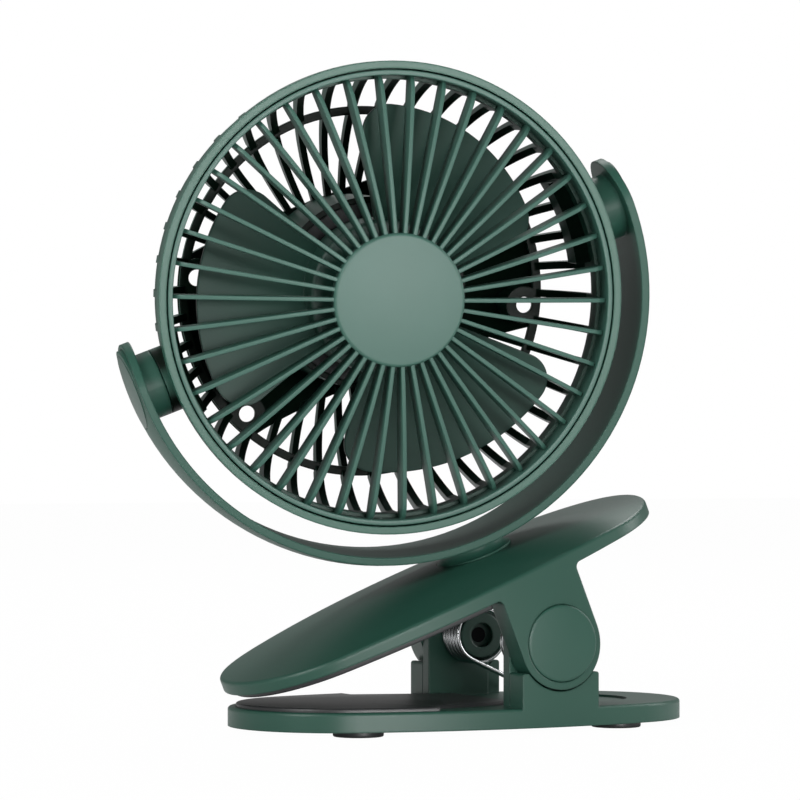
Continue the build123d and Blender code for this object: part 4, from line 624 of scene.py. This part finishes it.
class Finishes:
    """Every finish on the fan: the record's slots, and four that a slot is split into."""

    # The nodes whose finish differs from the rest of their slot.
    # The rim's finish is painted lighter as painted light, with painted shade in its bowl; the yoke's
    # is painted lighter as painted light.
    SPLIT = {
        "rear_shell": "rim_painted_light_and_shade",
        "yoke_arm": "yoke_painted_light",
        "yoke_cover": "yoke_painted_light",
        "hinge_pins": "pin_steel",
    }

    def __init__(self) -> None:
        """Builds the materials."""
        made = {
            # The casing: dark green ABS, matt, with a soft wide sheen.
            "moulded_green": MouldedPlastic("matt_green_abs", "#1e483b", "#234d40", 0.40),
            # The rim and bowl behind the grille: the same ABS, painted lighter on the rim as painted
            # light, and painted nearly black where the bowl's inside looks forwards, as painted
            # shade.
            "rim_painted_light_and_shade": MouldedPlastic(
                "rim_abs_painted_light_and_shade", "#2b5a4b", "#305f50", 0.42, bowl=Bowl("#1f493c", "#08170f", 11.0)
            ),
            # The grille: the same ABS painted lighter, as painted light on the fan's front, with a
            # finer edge.
            "grille_painted_light": MouldedPlastic(
                "grille_abs_painted_light", "#375e52", "#3e655a", 0.44, edge_mm=0.15
            ),
            # The yoke: the same ABS painted between casing and rim, as painted light, and duller, so
            # that its inside stays dark.
            "yoke_painted_light": MouldedPlastic("yoke_abs_painted_light", "#265043", "#2b5548", 0.45, specular=0.3),
            # Small caps from another tool, a shade smoother.
            "cap_green": MouldedPlastic("smooth_green_abs", "#1f4a3d", "#244f42", 0.37),
            # Blades: the same ABS, painted a shade darker as painted shade, and duller than the
            # casing.
            "blade_plastic": MouldedPlastic("blade_abs_painted_shade", "#1a4035", "#1f463a", 0.44),
            # Inside pieces in black nylon.
            "inner_plastic": MouldedPlastic("black_nylon", "#17191a", "#1d1f20", 0.55),
            # Pads and feet: black silicone rubber, dull, with a coarser moulded grain.
            "pad_rubber": MouldedPlastic(
                "black_rubber", "#212324", "#2a2c2d", 0.40, 0.6, 0.015, specular=0.6
            ),
            # Spring: bright drawn steel wire.
            "spring_steel": Metal("drawn_steel_wire", "#d9dbdc", "#b9bcbe", 0.22, 0.25),
            # Hinge pins: blackened steel, with a dull oily skin.
            "pin_steel": Metal("blackened_steel", "#141516", "#1e1f20", 0.5),
            # Screws: zinc-plated steel.
            "screw_steel": Metal("zinc_plated_steel", "#b9bcbf", "#9ea2a6", 0.34),
            # Stator and rotor cup: laminated electrical steel.
            "core_steel": Metal("laminated_steel", "#7d7f82", "#5f6265", 0.5, 0.35, (1, 1, 6)),
            # Ferrite ring, grey-black and dull.
            "magnet": Metal("ferrite", "#3a3b3d", "#2b2c2e", 0.7, 0.8),
            # Copper windings under clear enamel.
            "copper": Metal("enamelled_copper", "#b8652f", "#8e451c", 0.3, 0.4, (1, 1, 5)),
            # Bushes: sintered bronze, porous and dull.
            "bronze": Metal("sintered_bronze", "#9a7a44", "#7c5f31", 0.55, 0.3),
            # Circuit board: green solder mask.
            "board": MouldedPlastic("solder_mask", "#124a2a", "#0e3d22", 0.3, 1.2, 0.01),
            # Cell in blue shrink wrap.
            "cell_wrap": MouldedPlastic("shrink_wrap", "#1c4d86", "#184375", 0.28, 2.0, 0.01),
            # Milky polycarbonate light guide.
            "lens": MouldedPlastic("milky_polycarbonate", "#dfe3df", "#d2d8d3", 0.25, 1.0, 0.002),
        }
        self.by_name = {name: finish.build() for name, finish in made.items()}

    def dress(self) -> None:
        """Gives every CAD node the finish of its slot."""
        slots = {row["node"]: row["material_slot"] for row in frame["record"]["subparts"]}
        for node, shape in frame["nodes"].items():
            finish = self.by_name[self.SPLIT.get(node, slots[node])]
            shape.data.materials.clear()
            shape.data.materials.append(finish)
            LOG.info("node %s: %s", node, finish.name)


# ------------------------------------------------------------------ shared outlines
def oval(half_length: float, half_width: float, end_radius: float, steps: int = 40) -> Array:
    """The outline that the base and the lever share, counter-clockwise from its right end.

    Two end arcs of the given radius are joined by two long side arcs that are tangent to them. With
    reach as the end arcs' distance from the middle, the side radius is
    (reach^2 + half_width^2 - end_radius^2) / (2 (half_width - end_radius)).

    Args:
        half_length: half the length.
        half_width: half the width.
        end_radius: the end arcs' radius.
        steps: points on each arc.

    Returns:
        An array of n by 2.
    """
    reach = half_length - end_radius
    side = (reach**2 + half_width**2 - end_radius**2) / (2.0 * (half_width - end_radius))
    lean = math.atan2(side - half_width, reach)
    end = np.linspace(-lean, lean, steps)
    long = np.linspace(lean, math.pi - lean, steps + 1)[1:-1]
    right = np.stack([reach + end_radius * np.cos(end), end_radius * np.sin(end)], axis=-1)
    top = np.stack([side * np.cos(long), side * np.sin(long) - (side - half_width)], axis=-1)
    return np.concatenate([right, top, -right, -top])


def cut_at(outline: Array, x: float, tail: Array | None = None) -> Array:
    """Keeps an outline's points left of x and closes it with a straight cut or a tail.

    Args:
        outline: n by 2, counter-clockwise and symmetric about the x axis.
        x: where it is cut.
        tail: points that take the place of what was cut off, from the lower side to the upper.

    Returns:
        The new outline.
    """
    upper = outline[(outline[:, 1] > 0.0)]
    upper = upper[np.argsort(-upper[:, 0])]
    y = np.interp(x, upper[::-1, 0], upper[::-1, 1])
    kept = upper[upper[:, 0] < x]
    top = np.concatenate([[[x, y]], kept])
    bottom = (top * np.array([1.0, -1.0]))[::-1]
    return np.concatenate([top, bottom] + ([] if tail is None else [tail]))


def stacked(outline: Array, layers: Sequence[tuple[float, float]]) -> Array:
    """Copies of an outline, each drawn in along its normals and lifted.

    Args:
        outline: n by 2, counter-clockwise.
        layers: how far each copy is drawn in, and its height.

    Returns:
        A grid of layers by outline points.
    """
    along = np.roll(outline, -1, axis=0) - np.roll(outline, 1, axis=0)
    along /= np.linalg.norm(along, axis=1, keepdims=True)
    inwards = np.stack([-along[:, 1], along[:, 0]], axis=-1)
    steps = np.array(layers)
    flat = outline[None] + steps[:, 0, None, None] * inwards[None]
    height = np.broadcast_to(steps[:, 1, None, None], flat.shape[:2] + (1,))
    return np.concatenate([flat, height], axis=-1)


def soft_edge(bottom: float, top: float, radius: float) -> list[tuple[float, float]]:
    """Layers of a slab whose top edge is a quarter round.

    At an angle t of the round a layer is drawn in by radius (1 - cos t), and its height is
    top - radius (1 - sin t).

    Args:
        bottom: the slab's lower height.
        top: its upper height.
        radius: the round's radius.

    Returns:
        How far each layer is drawn in, and its height.
    """
    turn = np.linspace(0.0, math.pi / 2.0, 5)
    corner = [(radius * (1 - math.cos(t)), top - radius * (1 - math.sin(t))) for t in turn]
    return [(0.0, bottom)] + corner


def blade_bar(front: Array, back: Array, width: float, radius: float) -> Array:
    """A flat bar between two curves of one plane, with its long edges rounded.

    At each point of the curves the section runs from the front curve to the back one. The columns
    are measured from whichever curve is nearer, so the rounding keeps its size where the bar gets
    narrower.

    Args:
        front: n by 2, radius and height.
        back: n by 2, the other side's.
        width: the bar's thickness across the plane.
        radius: the rounding at the front edge. The back edge has half of it.

    Returns:
        A grid of n by section points of radius, distance across the plane, and height.
    """
    across = back - front
    across /= np.linalg.norm(across, axis=1, keepdims=True)
    turn = np.linspace(0.0, math.pi / 2.0, 4)
    half = width / 2.0

    def edge(curve: Array, inwards: Array, size: float, flip: bool) -> Array:
        """One rounded long edge, from one side of the bar to the other.

        Args:
            curve: the edge's curve.
            inwards: the direction into the bar at each point.
            size: the rounding's radius.
            flip: runs it the other way across.

        Returns:
            A grid of curve points by edge points.
        """
        off, deep = half - size + size * np.sin(turn[::-1]), size * (1 - np.cos(turn[::-1]))
        off = np.concatenate([off, -off[::-1]])
        deep = np.concatenate([deep, deep[::-1]])
        if flip:
            off = -off
        spots = curve[:, None] + deep[None, :, None] * inwards[:, None]
        side = np.broadcast_to(off[None, :, None], spots.shape[:2] + (1,))
        return np.concatenate([spots[..., :1], side, spots[..., 1:]], axis=-1)

    return np.concatenate(
        [edge(front, across, radius, False), edge(back, -across, radius / 2.0, True)], axis=1
    )


def fanned(grid: Array, angle: float) -> Array:
    """Turns a grid of radius, distance across and height about the z axis.

    Args:
        grid: rows by columns by 3.
        angle: where it is turned to, in radians.

    Returns:
        The grid's points as x, y, z.
    """
    out = np.array([math.cos(angle), math.sin(angle)])
    side = np.array([-math.sin(angle), math.cos(angle)])
    flat = grid[..., :1] * out + grid[..., 1:2] * side
    return np.concatenate([flat, grid[..., 2:]], axis=-1)


def bowed(start: Sequence[float], end: Sequence[float], bow: Sequence[float], steps: int) -> Array:
    """Points on the arc from one point to another that passes beside the middle of their chord.

    The centre c is where the bisectors of two chords cross, found from the linear equations
    2 (q - p) . c = |q|^2 - |p|^2 for the start p and, as q, first the middle point and then the end.

    Args:
        start: the first point, radius and height.
        end: the last point.
        bow: the step from the chord's middle to a point of the arc.
        steps: how many points.

    Returns:
        An array of steps by 2.
    """
    a, c = np.array(start, float), np.array(end, float)
    b = (a + c) / 2 + np.array(bow, float)
    chords = 2.0 * np.array([b - a, c - a])
    centre = np.linalg.solve(chords, np.array([b @ b - a @ a, c @ c - a @ a]))
    first, _, last = np.unwrap([math.atan2(*(p - centre)[::-1]) for p in (a, b, c)])
    turn = np.linspace(first, last, steps)
    return centre + math.dist(a, centre) * np.stack([np.cos(turn), np.sin(turn)], axis=-1)


# ------------------------------------------------------------------ clip
@dataclass(frozen=True)
class JawPads:
    """The rubber pads on the base and under the lever, and the base's four feet."""

    lower_outline: tuple[float, float, float] = (75.0, 37.8, 32.2)
    lower_cut: float = -24.0
    tongue: tuple[tuple[float, float], ...] = ((-24.0, 30.0), (9.0, 20.0))
    lower_bottom: float = 7.6
    lower_top: float = 9.3
    lower_middle: float = -40.0
    upper_outline: tuple[float, float, float] = (75.4, 38.0, 32.2)
    upper_middle: float = -17.0
    upper_cut: float = -0.5
    upper_top: float = 21.2
    upper_face: float = 19.2
    edge: float = 0.55
    foot_radius: float = 8.0
    foot_height: float = 2.5
    foot_edge: float = 0.5
    foot_spots: tuple[tuple[float, float], ...] = ((46, 23), (-46, 23), (46, -23), (-46, -23))

    def build(self, rubber: bpy.types.Material) -> None:
        """Makes the two pads and the feet.

        Args:
            rubber: their material.
        """
        (x0, y0), (x1, y1) = self.tongue
        tail = np.array([[x0, -y0], [x1, -y1], [x1, y1], [x0, y0]])
        outline = cut_at(oval(*self.lower_outline), self.lower_cut, tail)
        grid = stacked(outline, soft_edge(self.lower_bottom, self.lower_top, self.edge))
        pad = Skin(BASE).sheet(grid).lid(grid[0], (self.lower_middle, 0, self.lower_bottom))
        pad.lid(grid[-1], (self.lower_middle, 0, self.lower_top))
        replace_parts(pad.piece("lower_pad", "base", rubber, "pad_rubber"), "lower_jaw_pad")

        outline = cut_at(oval(*self.upper_outline), self.upper_cut)
        grid = stacked(outline, soft_edge(-self.upper_top, -self.upper_face, self.edge))
        grid = grid * np.array([1.0, 1.0, -1.0]) + np.array([self.upper_middle, 0.0, 0.0])
        pad = Skin(LEVER).bar(grid)
        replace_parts(pad.piece("upper_pad", "upper_jaw", rubber, "pad_rubber"), "upper_jaw_pad")

        profile = rounded(
            [
                (0.0, self.foot_height, 0.0),
                (self.foot_radius, self.foot_height, 0.1),
                (self.foot_radius, 0.0, self.foot_edge),
                (0.0, 0.0, 0.0),
            ]
        )
        foot = turned(profile, circle_angles(48))
        feet = Skin(BASE)
        for x, y in self.foot_spots:
            feet.sheet(foot + np.array([x, y, 0.0]), wrap_rows=True, wrap_columns=False)
        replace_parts(feet.piece("feet", "base", rubber, "pad_rubber"), "base_feet")


@dataclass(frozen=True)
class HingeCaps:
    """The round caps over the hinge pins, with the soft edge that draws a groove round them."""

    radius: float = 12.2
    seat: float = 37.2
    face: float = 40.6
    edge: float = 0.75

    def build(self, plastic: bpy.types.Material) -> None:
        """Makes both caps, the far one as the near one with its depth turned round.

        Args:
            plastic: their material.
        """
        profile = rounded(
            [
                (0.0, self.seat, 0.0),
                (self.radius, self.seat, 0.2),
                (self.radius, self.face, self.edge),
                (0.0, self.face, 0.0),
            ],
            6,
        )
        near = turned(profile, circle_angles(96))
        skin = Skin(Axes(HINGE, (1.0, 0.0, 0.0), (0.0, 0.0, 1.0), (0.0, -1.0, 0.0)))
        for side in (1.0, -1.0):
            cap = near * np.array([1.0, 1.0, side])
            skin.sheet(cap, wrap_rows=True, wrap_columns=False)
        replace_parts(skin.piece("pin_caps", "upper_jaw", plastic, "cap_green"), "hinge_caps")


@dataclass(frozen=True)
class ClipSpring:
    """One wire bent into two coils, with a bridge on the base and two legs under the lever."""

    wire: float = 0.8
    coil: float = 8.9
    inner_y: float = 15.6
    outer_y: float = 25.9
    start_angle: float = 142.0
    end_angle: float = 1685.0
    lever_height: float = 20.1
    bridge_z: float = 8.45
    bend: float = 4.0
    steps_per_turn: int = 40
    steps_round_wire: int = 14

    def centre_line(self) -> Array:
        """The wire's centre line from one lever leg to the other.

        The coil is a helix about the hinge: (r cos a, y0 + pitch a, r sin a). Its two ends go on as
        straight legs along the helix's tangents, and the lower leg turns into the bridge on an arc.
        The far half is the near one with its y turned round.

        Returns:
            An array of n by 3.
        """
        span = self.end_angle - self.start_angle
        pitch = (self.outer_y - self.inner_y) / math.radians(span)
        steps = int(span / 360 * self.steps_per_turn)
        turn = np.radians(np.linspace(self.start_angle, self.end_angle, steps))
        helix = np.stack(
            [
                HINGE[0] + self.coil * np.cos(turn),
                -self.outer_y + pitch * (turn - turn[0]),
                HINGE[2] + self.coil * np.sin(turn),
            ],
            axis=-1,
        )

        def tangent(angle: float) -> Array:
            """The helix's direction at an angle."""
            along = np.array([-self.coil * math.sin(angle), pitch, self.coil * math.cos(angle)])
            return along / np.linalg.norm(along)

        up = np.array(LEVER_UP)
        first, last = tangent(turn[0]), tangent(turn[-1])
        rise = (self.lever_height - (helix[0] - np.array(HINGE)) @ up) / (first @ up)
        share = np.linspace(1.0, 0.0, 14)[:-1, None]
        lever_leg = helix[0] + first * rise * share
        corner = helix[-1] + last * ((self.bridge_z - helix[-1, 2]) / last[2])
        reach = self.bend * math.tan(math.acos(last[1]) / 2.0)
        across = np.array([0.0, 1.0, 0.0])
        base_leg = helix[-1] + (corner - last * reach - helix[-1]) * np.linspace(0, 1, 10)[1:, None]
        sweep = math.acos(last[1])
        sideways = (across - last * last[1]) / math.sin(sweep)
        lean = np.linspace(0.0, sweep, 12)[1:, None]
        bend = base_leg[-1] + self.bend * (np.sin(lean) * last + (1 - np.cos(lean)) * sideways)
        middle = np.array([bend[-1, 0], 0.0, bend[-1, 2]])
        bridge = bend[-1] + (middle - bend[-1]) * np.linspace(0, 1, 12)[1:, None]
        near = np.concatenate([lever_leg, helix, base_leg, bend, bridge])
        return np.concatenate([near, (near * np.array([1.0, -1.0, 1.0]))[-2::-1]])

    def build(self, steel: bpy.types.Material) -> None:
        """Makes the wire, attached to no body.

        Args:
            steel: its material.
        """
        grid = tube(self.centre_line(), self.wire, self.steps_round_wire, np.array([0.0, 1.0, 0.0]))
        piece = Skin(BASE).bar(grid).piece("spring", None, steel, "spring_steel")
        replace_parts(piece, "torsion_spring")
        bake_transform(piece)


# ------------------------------------------------------------------ head
@dataclass(frozen=True)
class Grille:
    """The front grille: a flat disc, forty-two fins and the ring that sits in the rim."""

    fins: int = 42
    disc: float = 21.1
    front: float = 28.3
    plate: float = 2.2
    disc_round: float = 0.9
    disc_step: float = 1.0
    small_round: float = 0.3
    hub_bore: float = 15.0
    hub_back: float = 20.5
    hub_round: float = 0.5
    fin_width: float = 1.3
    fin_edge: float = 0.22
    fin_sink: float = 0.7
    bend: tuple[float, float] = (66.0, 19.6)
    bow: float = 1.0
    outer: tuple[float, float] = (71.3, 14.6)
    outer_back: float = 10.6
    ring: tuple[float, float] = (70.5, 72.1)
    ring_back: float = 10.1
    ring_front: float = 18.9
    ring_edge: float = 0.3
    ring_foot: float = 0.1
    steps_round: int = 168

    def build(self, plastic: bpy.types.Material) -> None:
        """Makes the grille as one moulding.

        Args:
            plastic: its material.
        """
        skin = Skin(HEAD)
        around = circle_angles(self.steps_round)
        edge = self.disc - self.fin_sink
        profile = rounded(
            [
                (0.0, self.front, 0.0),
                (edge + self.small_round, self.front, self.disc_round),
                (self.disc, self.front - self.disc_step, self.small_round),
                (edge, self.hub_back, self.small_round),
                (self.hub_bore, self.hub_back, self.small_round),
                (self.hub_bore, self.front - self.plate, self.hub_round),
                (0.0, self.front - self.plate, 0.0),
            ]
        )
        skin.sheet(turned(profile, around), wrap_rows=True, wrap_columns=False)
        inner, outer = self.ring
        profile = rounded(
            [
                (inner, self.ring_back, self.ring_foot),
                (outer, self.ring_back, self.ring_foot),
                (outer, self.ring_front, self.ring_edge),
                (inner, self.ring_front, self.ring_edge),
            ]
        )
        skin.sheet(turned(profile, around), wrap_rows=True)
        start = (self.disc - 2 * self.fin_sink, self.front - self.fin_sink)
        top = bowed(start, self.bend, (0.0, self.bow), 22)
        end = bowed(self.bend, self.outer, (self.bow / 2, self.bow / 2), 8)
        front = np.concatenate([top, end[1:]])
        share = (front[:, 0] - start[0]) / (self.outer[0] - start[0])
        inner_back = self.hub_back + self.fin_sink
        back_height = inner_back + (self.outer_back - inner_back) * share
        back = np.stack([front[:, 0], back_height], axis=-1)
        bar = blade_bar(front, back, self.fin_width, self.fin_edge)
        for index in range(self.fins):
            skin.bar(fanned(bar, 2 * math.pi * (index + 0.5) / self.fins))
        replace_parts(skin.piece("grille", "head", plastic, "moulded_green"), "front_grille")


# ------------------------------------------------------------------ the room
@dataclass
class Studio:
    """A white floor and backdrop, four soft boxes and the camera of the photograph.

    The boxes' places are in millimetres from the aim.
    """

    aim: Point = (-21.64, -2.43, 105.54)
    distance: float = 1200.0
    azimuth: float = -25.7
    elevation: float = -0.6
    lens: float = 168.26
    sensor: float = 36.0
    farthest: float = 20000.0
    white: float = 0.97
    gloss: float = 0.12
    floor_half: float = 4000.0
    floor_glow: float = 0.985
    fill_light: float = 0.2

    def _brightness(self, tree: bpy.types.NodeTree) -> bpy.types.NodeSocket:
        """Full brightness for what is seen directly or through glass, and a share of it in gloss.

        Args:
            tree: the node tree.

        Returns:
            The output that holds the brightness.
        """
        rays = add_node(tree, "ShaderNodeLightPath").outputs
        seen = add_node(
            tree,
            "ShaderNodeMath",
            links={0: rays["Is Camera Ray"], 1: rays["Is Transmission Ray"]},
            operation="MAXIMUM",
        )
        gloss = add_node(
            tree, "ShaderNodeMath", {1: self.gloss}, {0: rays["Is Glossy Ray"]}, operation="MULTIPLY"
        )
        both = add_node(
            tree,
            "ShaderNodeMath",
            links={0: seen.outputs[0], 1: gloss.outputs[0]},
            operation="MAXIMUM",
        )
        return both.outputs[0]

    def _paper(self) -> bpy.types.Material:
        """Matt white paper, lit as paint is, and evenly bright where it is seen.

        Returns:
            The material.
        """
        made, tree = blank_material("white_paper_floor")
        share = add_node(
            tree,
            "ShaderNodeMath",
            {1: self.floor_glow},
            {0: self._brightness(tree)},
            operation="MULTIPLY",
        )
        paint = add_node(
            tree, "ShaderNodeBsdfDiffuse", {"Color": (self.white, self.white, self.white, 1.0)}
        )
        glow = add_node(tree, "ShaderNodeEmission", {"Strength": 1.0})
        mixed = add_node(
            tree,
            "ShaderNodeMixShader",
            links={0: share.outputs[0], 1: paint.outputs[0], 2: glow.outputs[0]},
        )
        add_node(tree, "ShaderNodeOutputMaterial", links={"Surface": mixed.outputs[0]})
        return made

    def floor(self) -> None:
        """The plain pale floor."""
        mesh = bpy.data.meshes.new("floor")
        half = self.floor_half * MM
        corners = [(-half, -half, 0.0), (half, -half, 0.0), (half, half, 0.0), (-half, half, 0.0)]
        mesh.from_pydata(corners, [], [(0, 1, 2, 3)])
        mesh.materials.append(self._paper())
        made = bpy.data.objects.new("floor", mesh)
        bpy.context.scene.collection.objects.link(made)

    def world(self) -> None:
        """The backdrop: white where it is seen, dim where it only lights the object."""
        made = bpy.data.worlds.new("backdrop")
        made.use_nodes = True
        tree = made.node_tree
        tree.nodes.clear()
        level = add_node(
            tree,
            "ShaderNodeMapRange",
            {"To Min": self.fill_light, "To Max": 1.0},
            {"Value": self._brightness(tree)},
        )
        sky = add_node(
            tree,
            "ShaderNodeBackground",
            {"Color": (1.0, 1.0, 1.0, 1.0)},
            {"Strength": level.outputs[0]},
        )
        add_node(tree, "ShaderNodeOutputWorld", links={"Surface": sky.outputs[0]})
        bpy.context.scene.world = made

    def soft_box(self, name: str, place: Point, size: tuple[float, float], power: float) -> None:
        """An area lamp that faces the fan.

        Args:
            name: the lamp's name.
            place: its middle, in millimetres from the aim.
            size: its width and height in millimetres.
            power: its power in watts.
        """
        lamp = bpy.data.lights.new(name, "AREA")
        lamp.shape = "RECTANGLE"
        lamp.size, lamp.size_y = size[0] * MM, size[1] * MM
        lamp.energy = power
        made = bpy.data.objects.new(name, lamp)
        bpy.context.scene.collection.objects.link(made)
        offset = Vector(place) * MM
        made.location = Vector(self.aim) * MM + offset
        made.rotation_euler = offset.to_track_quat("Z", "Y").to_euler()

    def camera(self) -> None:
        """The camera: a long lens, a little below the middle of the fan."""
        turn, tilt = math.radians(self.azimuth), math.radians(self.elevation)
        right = Vector((math.cos(turn), math.sin(turn), 0.0))
        back = Vector(
            (math.sin(turn) * math.cos(tilt), -math.cos(turn) * math.cos(tilt), math.sin(tilt))
        )
        up = back.cross(right)
        lens = bpy.data.cameras.new("camera")
        lens.lens = self.lens
        lens.sensor_width = self.sensor
        lens.clip_end = self.farthest * MM
        made = bpy.data.objects.new("camera", lens)
        bpy.context.scene.collection.objects.link(made)
        made.matrix_world = Matrix.Translation(
            (Vector(self.aim) + back * self.distance) * MM
        ) @ Matrix((right, up, back)).transposed().to_4x4()
        bpy.context.scene.camera = made

    def build(self) -> None:
        """Sets up the room."""
        bpy.context.scene.view_settings.view_transform = "Standard"
        self.floor()
        self.world()
        self.soft_box("front_box", (-60.0, -1500.0, -180.0), (620.0, 620.0), 29.0)
        self.soft_box("left_box", (-1300.0, -600.0, 700.0), (500.0, 900.0), 12.0)
        self.soft_box("right_box", (1300.0, -300.0, 500.0), (400.0, 900.0), 7.0)
        self.soft_box("top_box", (500.0, 900.0, 1300.0), (700.0, 500.0), 10.0)
        self.camera()


def main() -> None:
    """Builds the fan and the room it is seen in."""
    logging.basicConfig(level=logging.INFO, format="%(name)s %(message)s")
    finishes = Finishes()
    finishes.dress()
    by_name = finishes.by_name
    JawPads().build(by_name["pad_rubber"])
    HingeCaps().build(by_name["cap_green"])
    ClipSpring().build(by_name["spring_steel"])
    # The grille's finish is painted lighter, as painted light.
    Grille().build(by_name["grille_painted_light"])
    Studio().build()


if __name__ == "__main__":
    main()
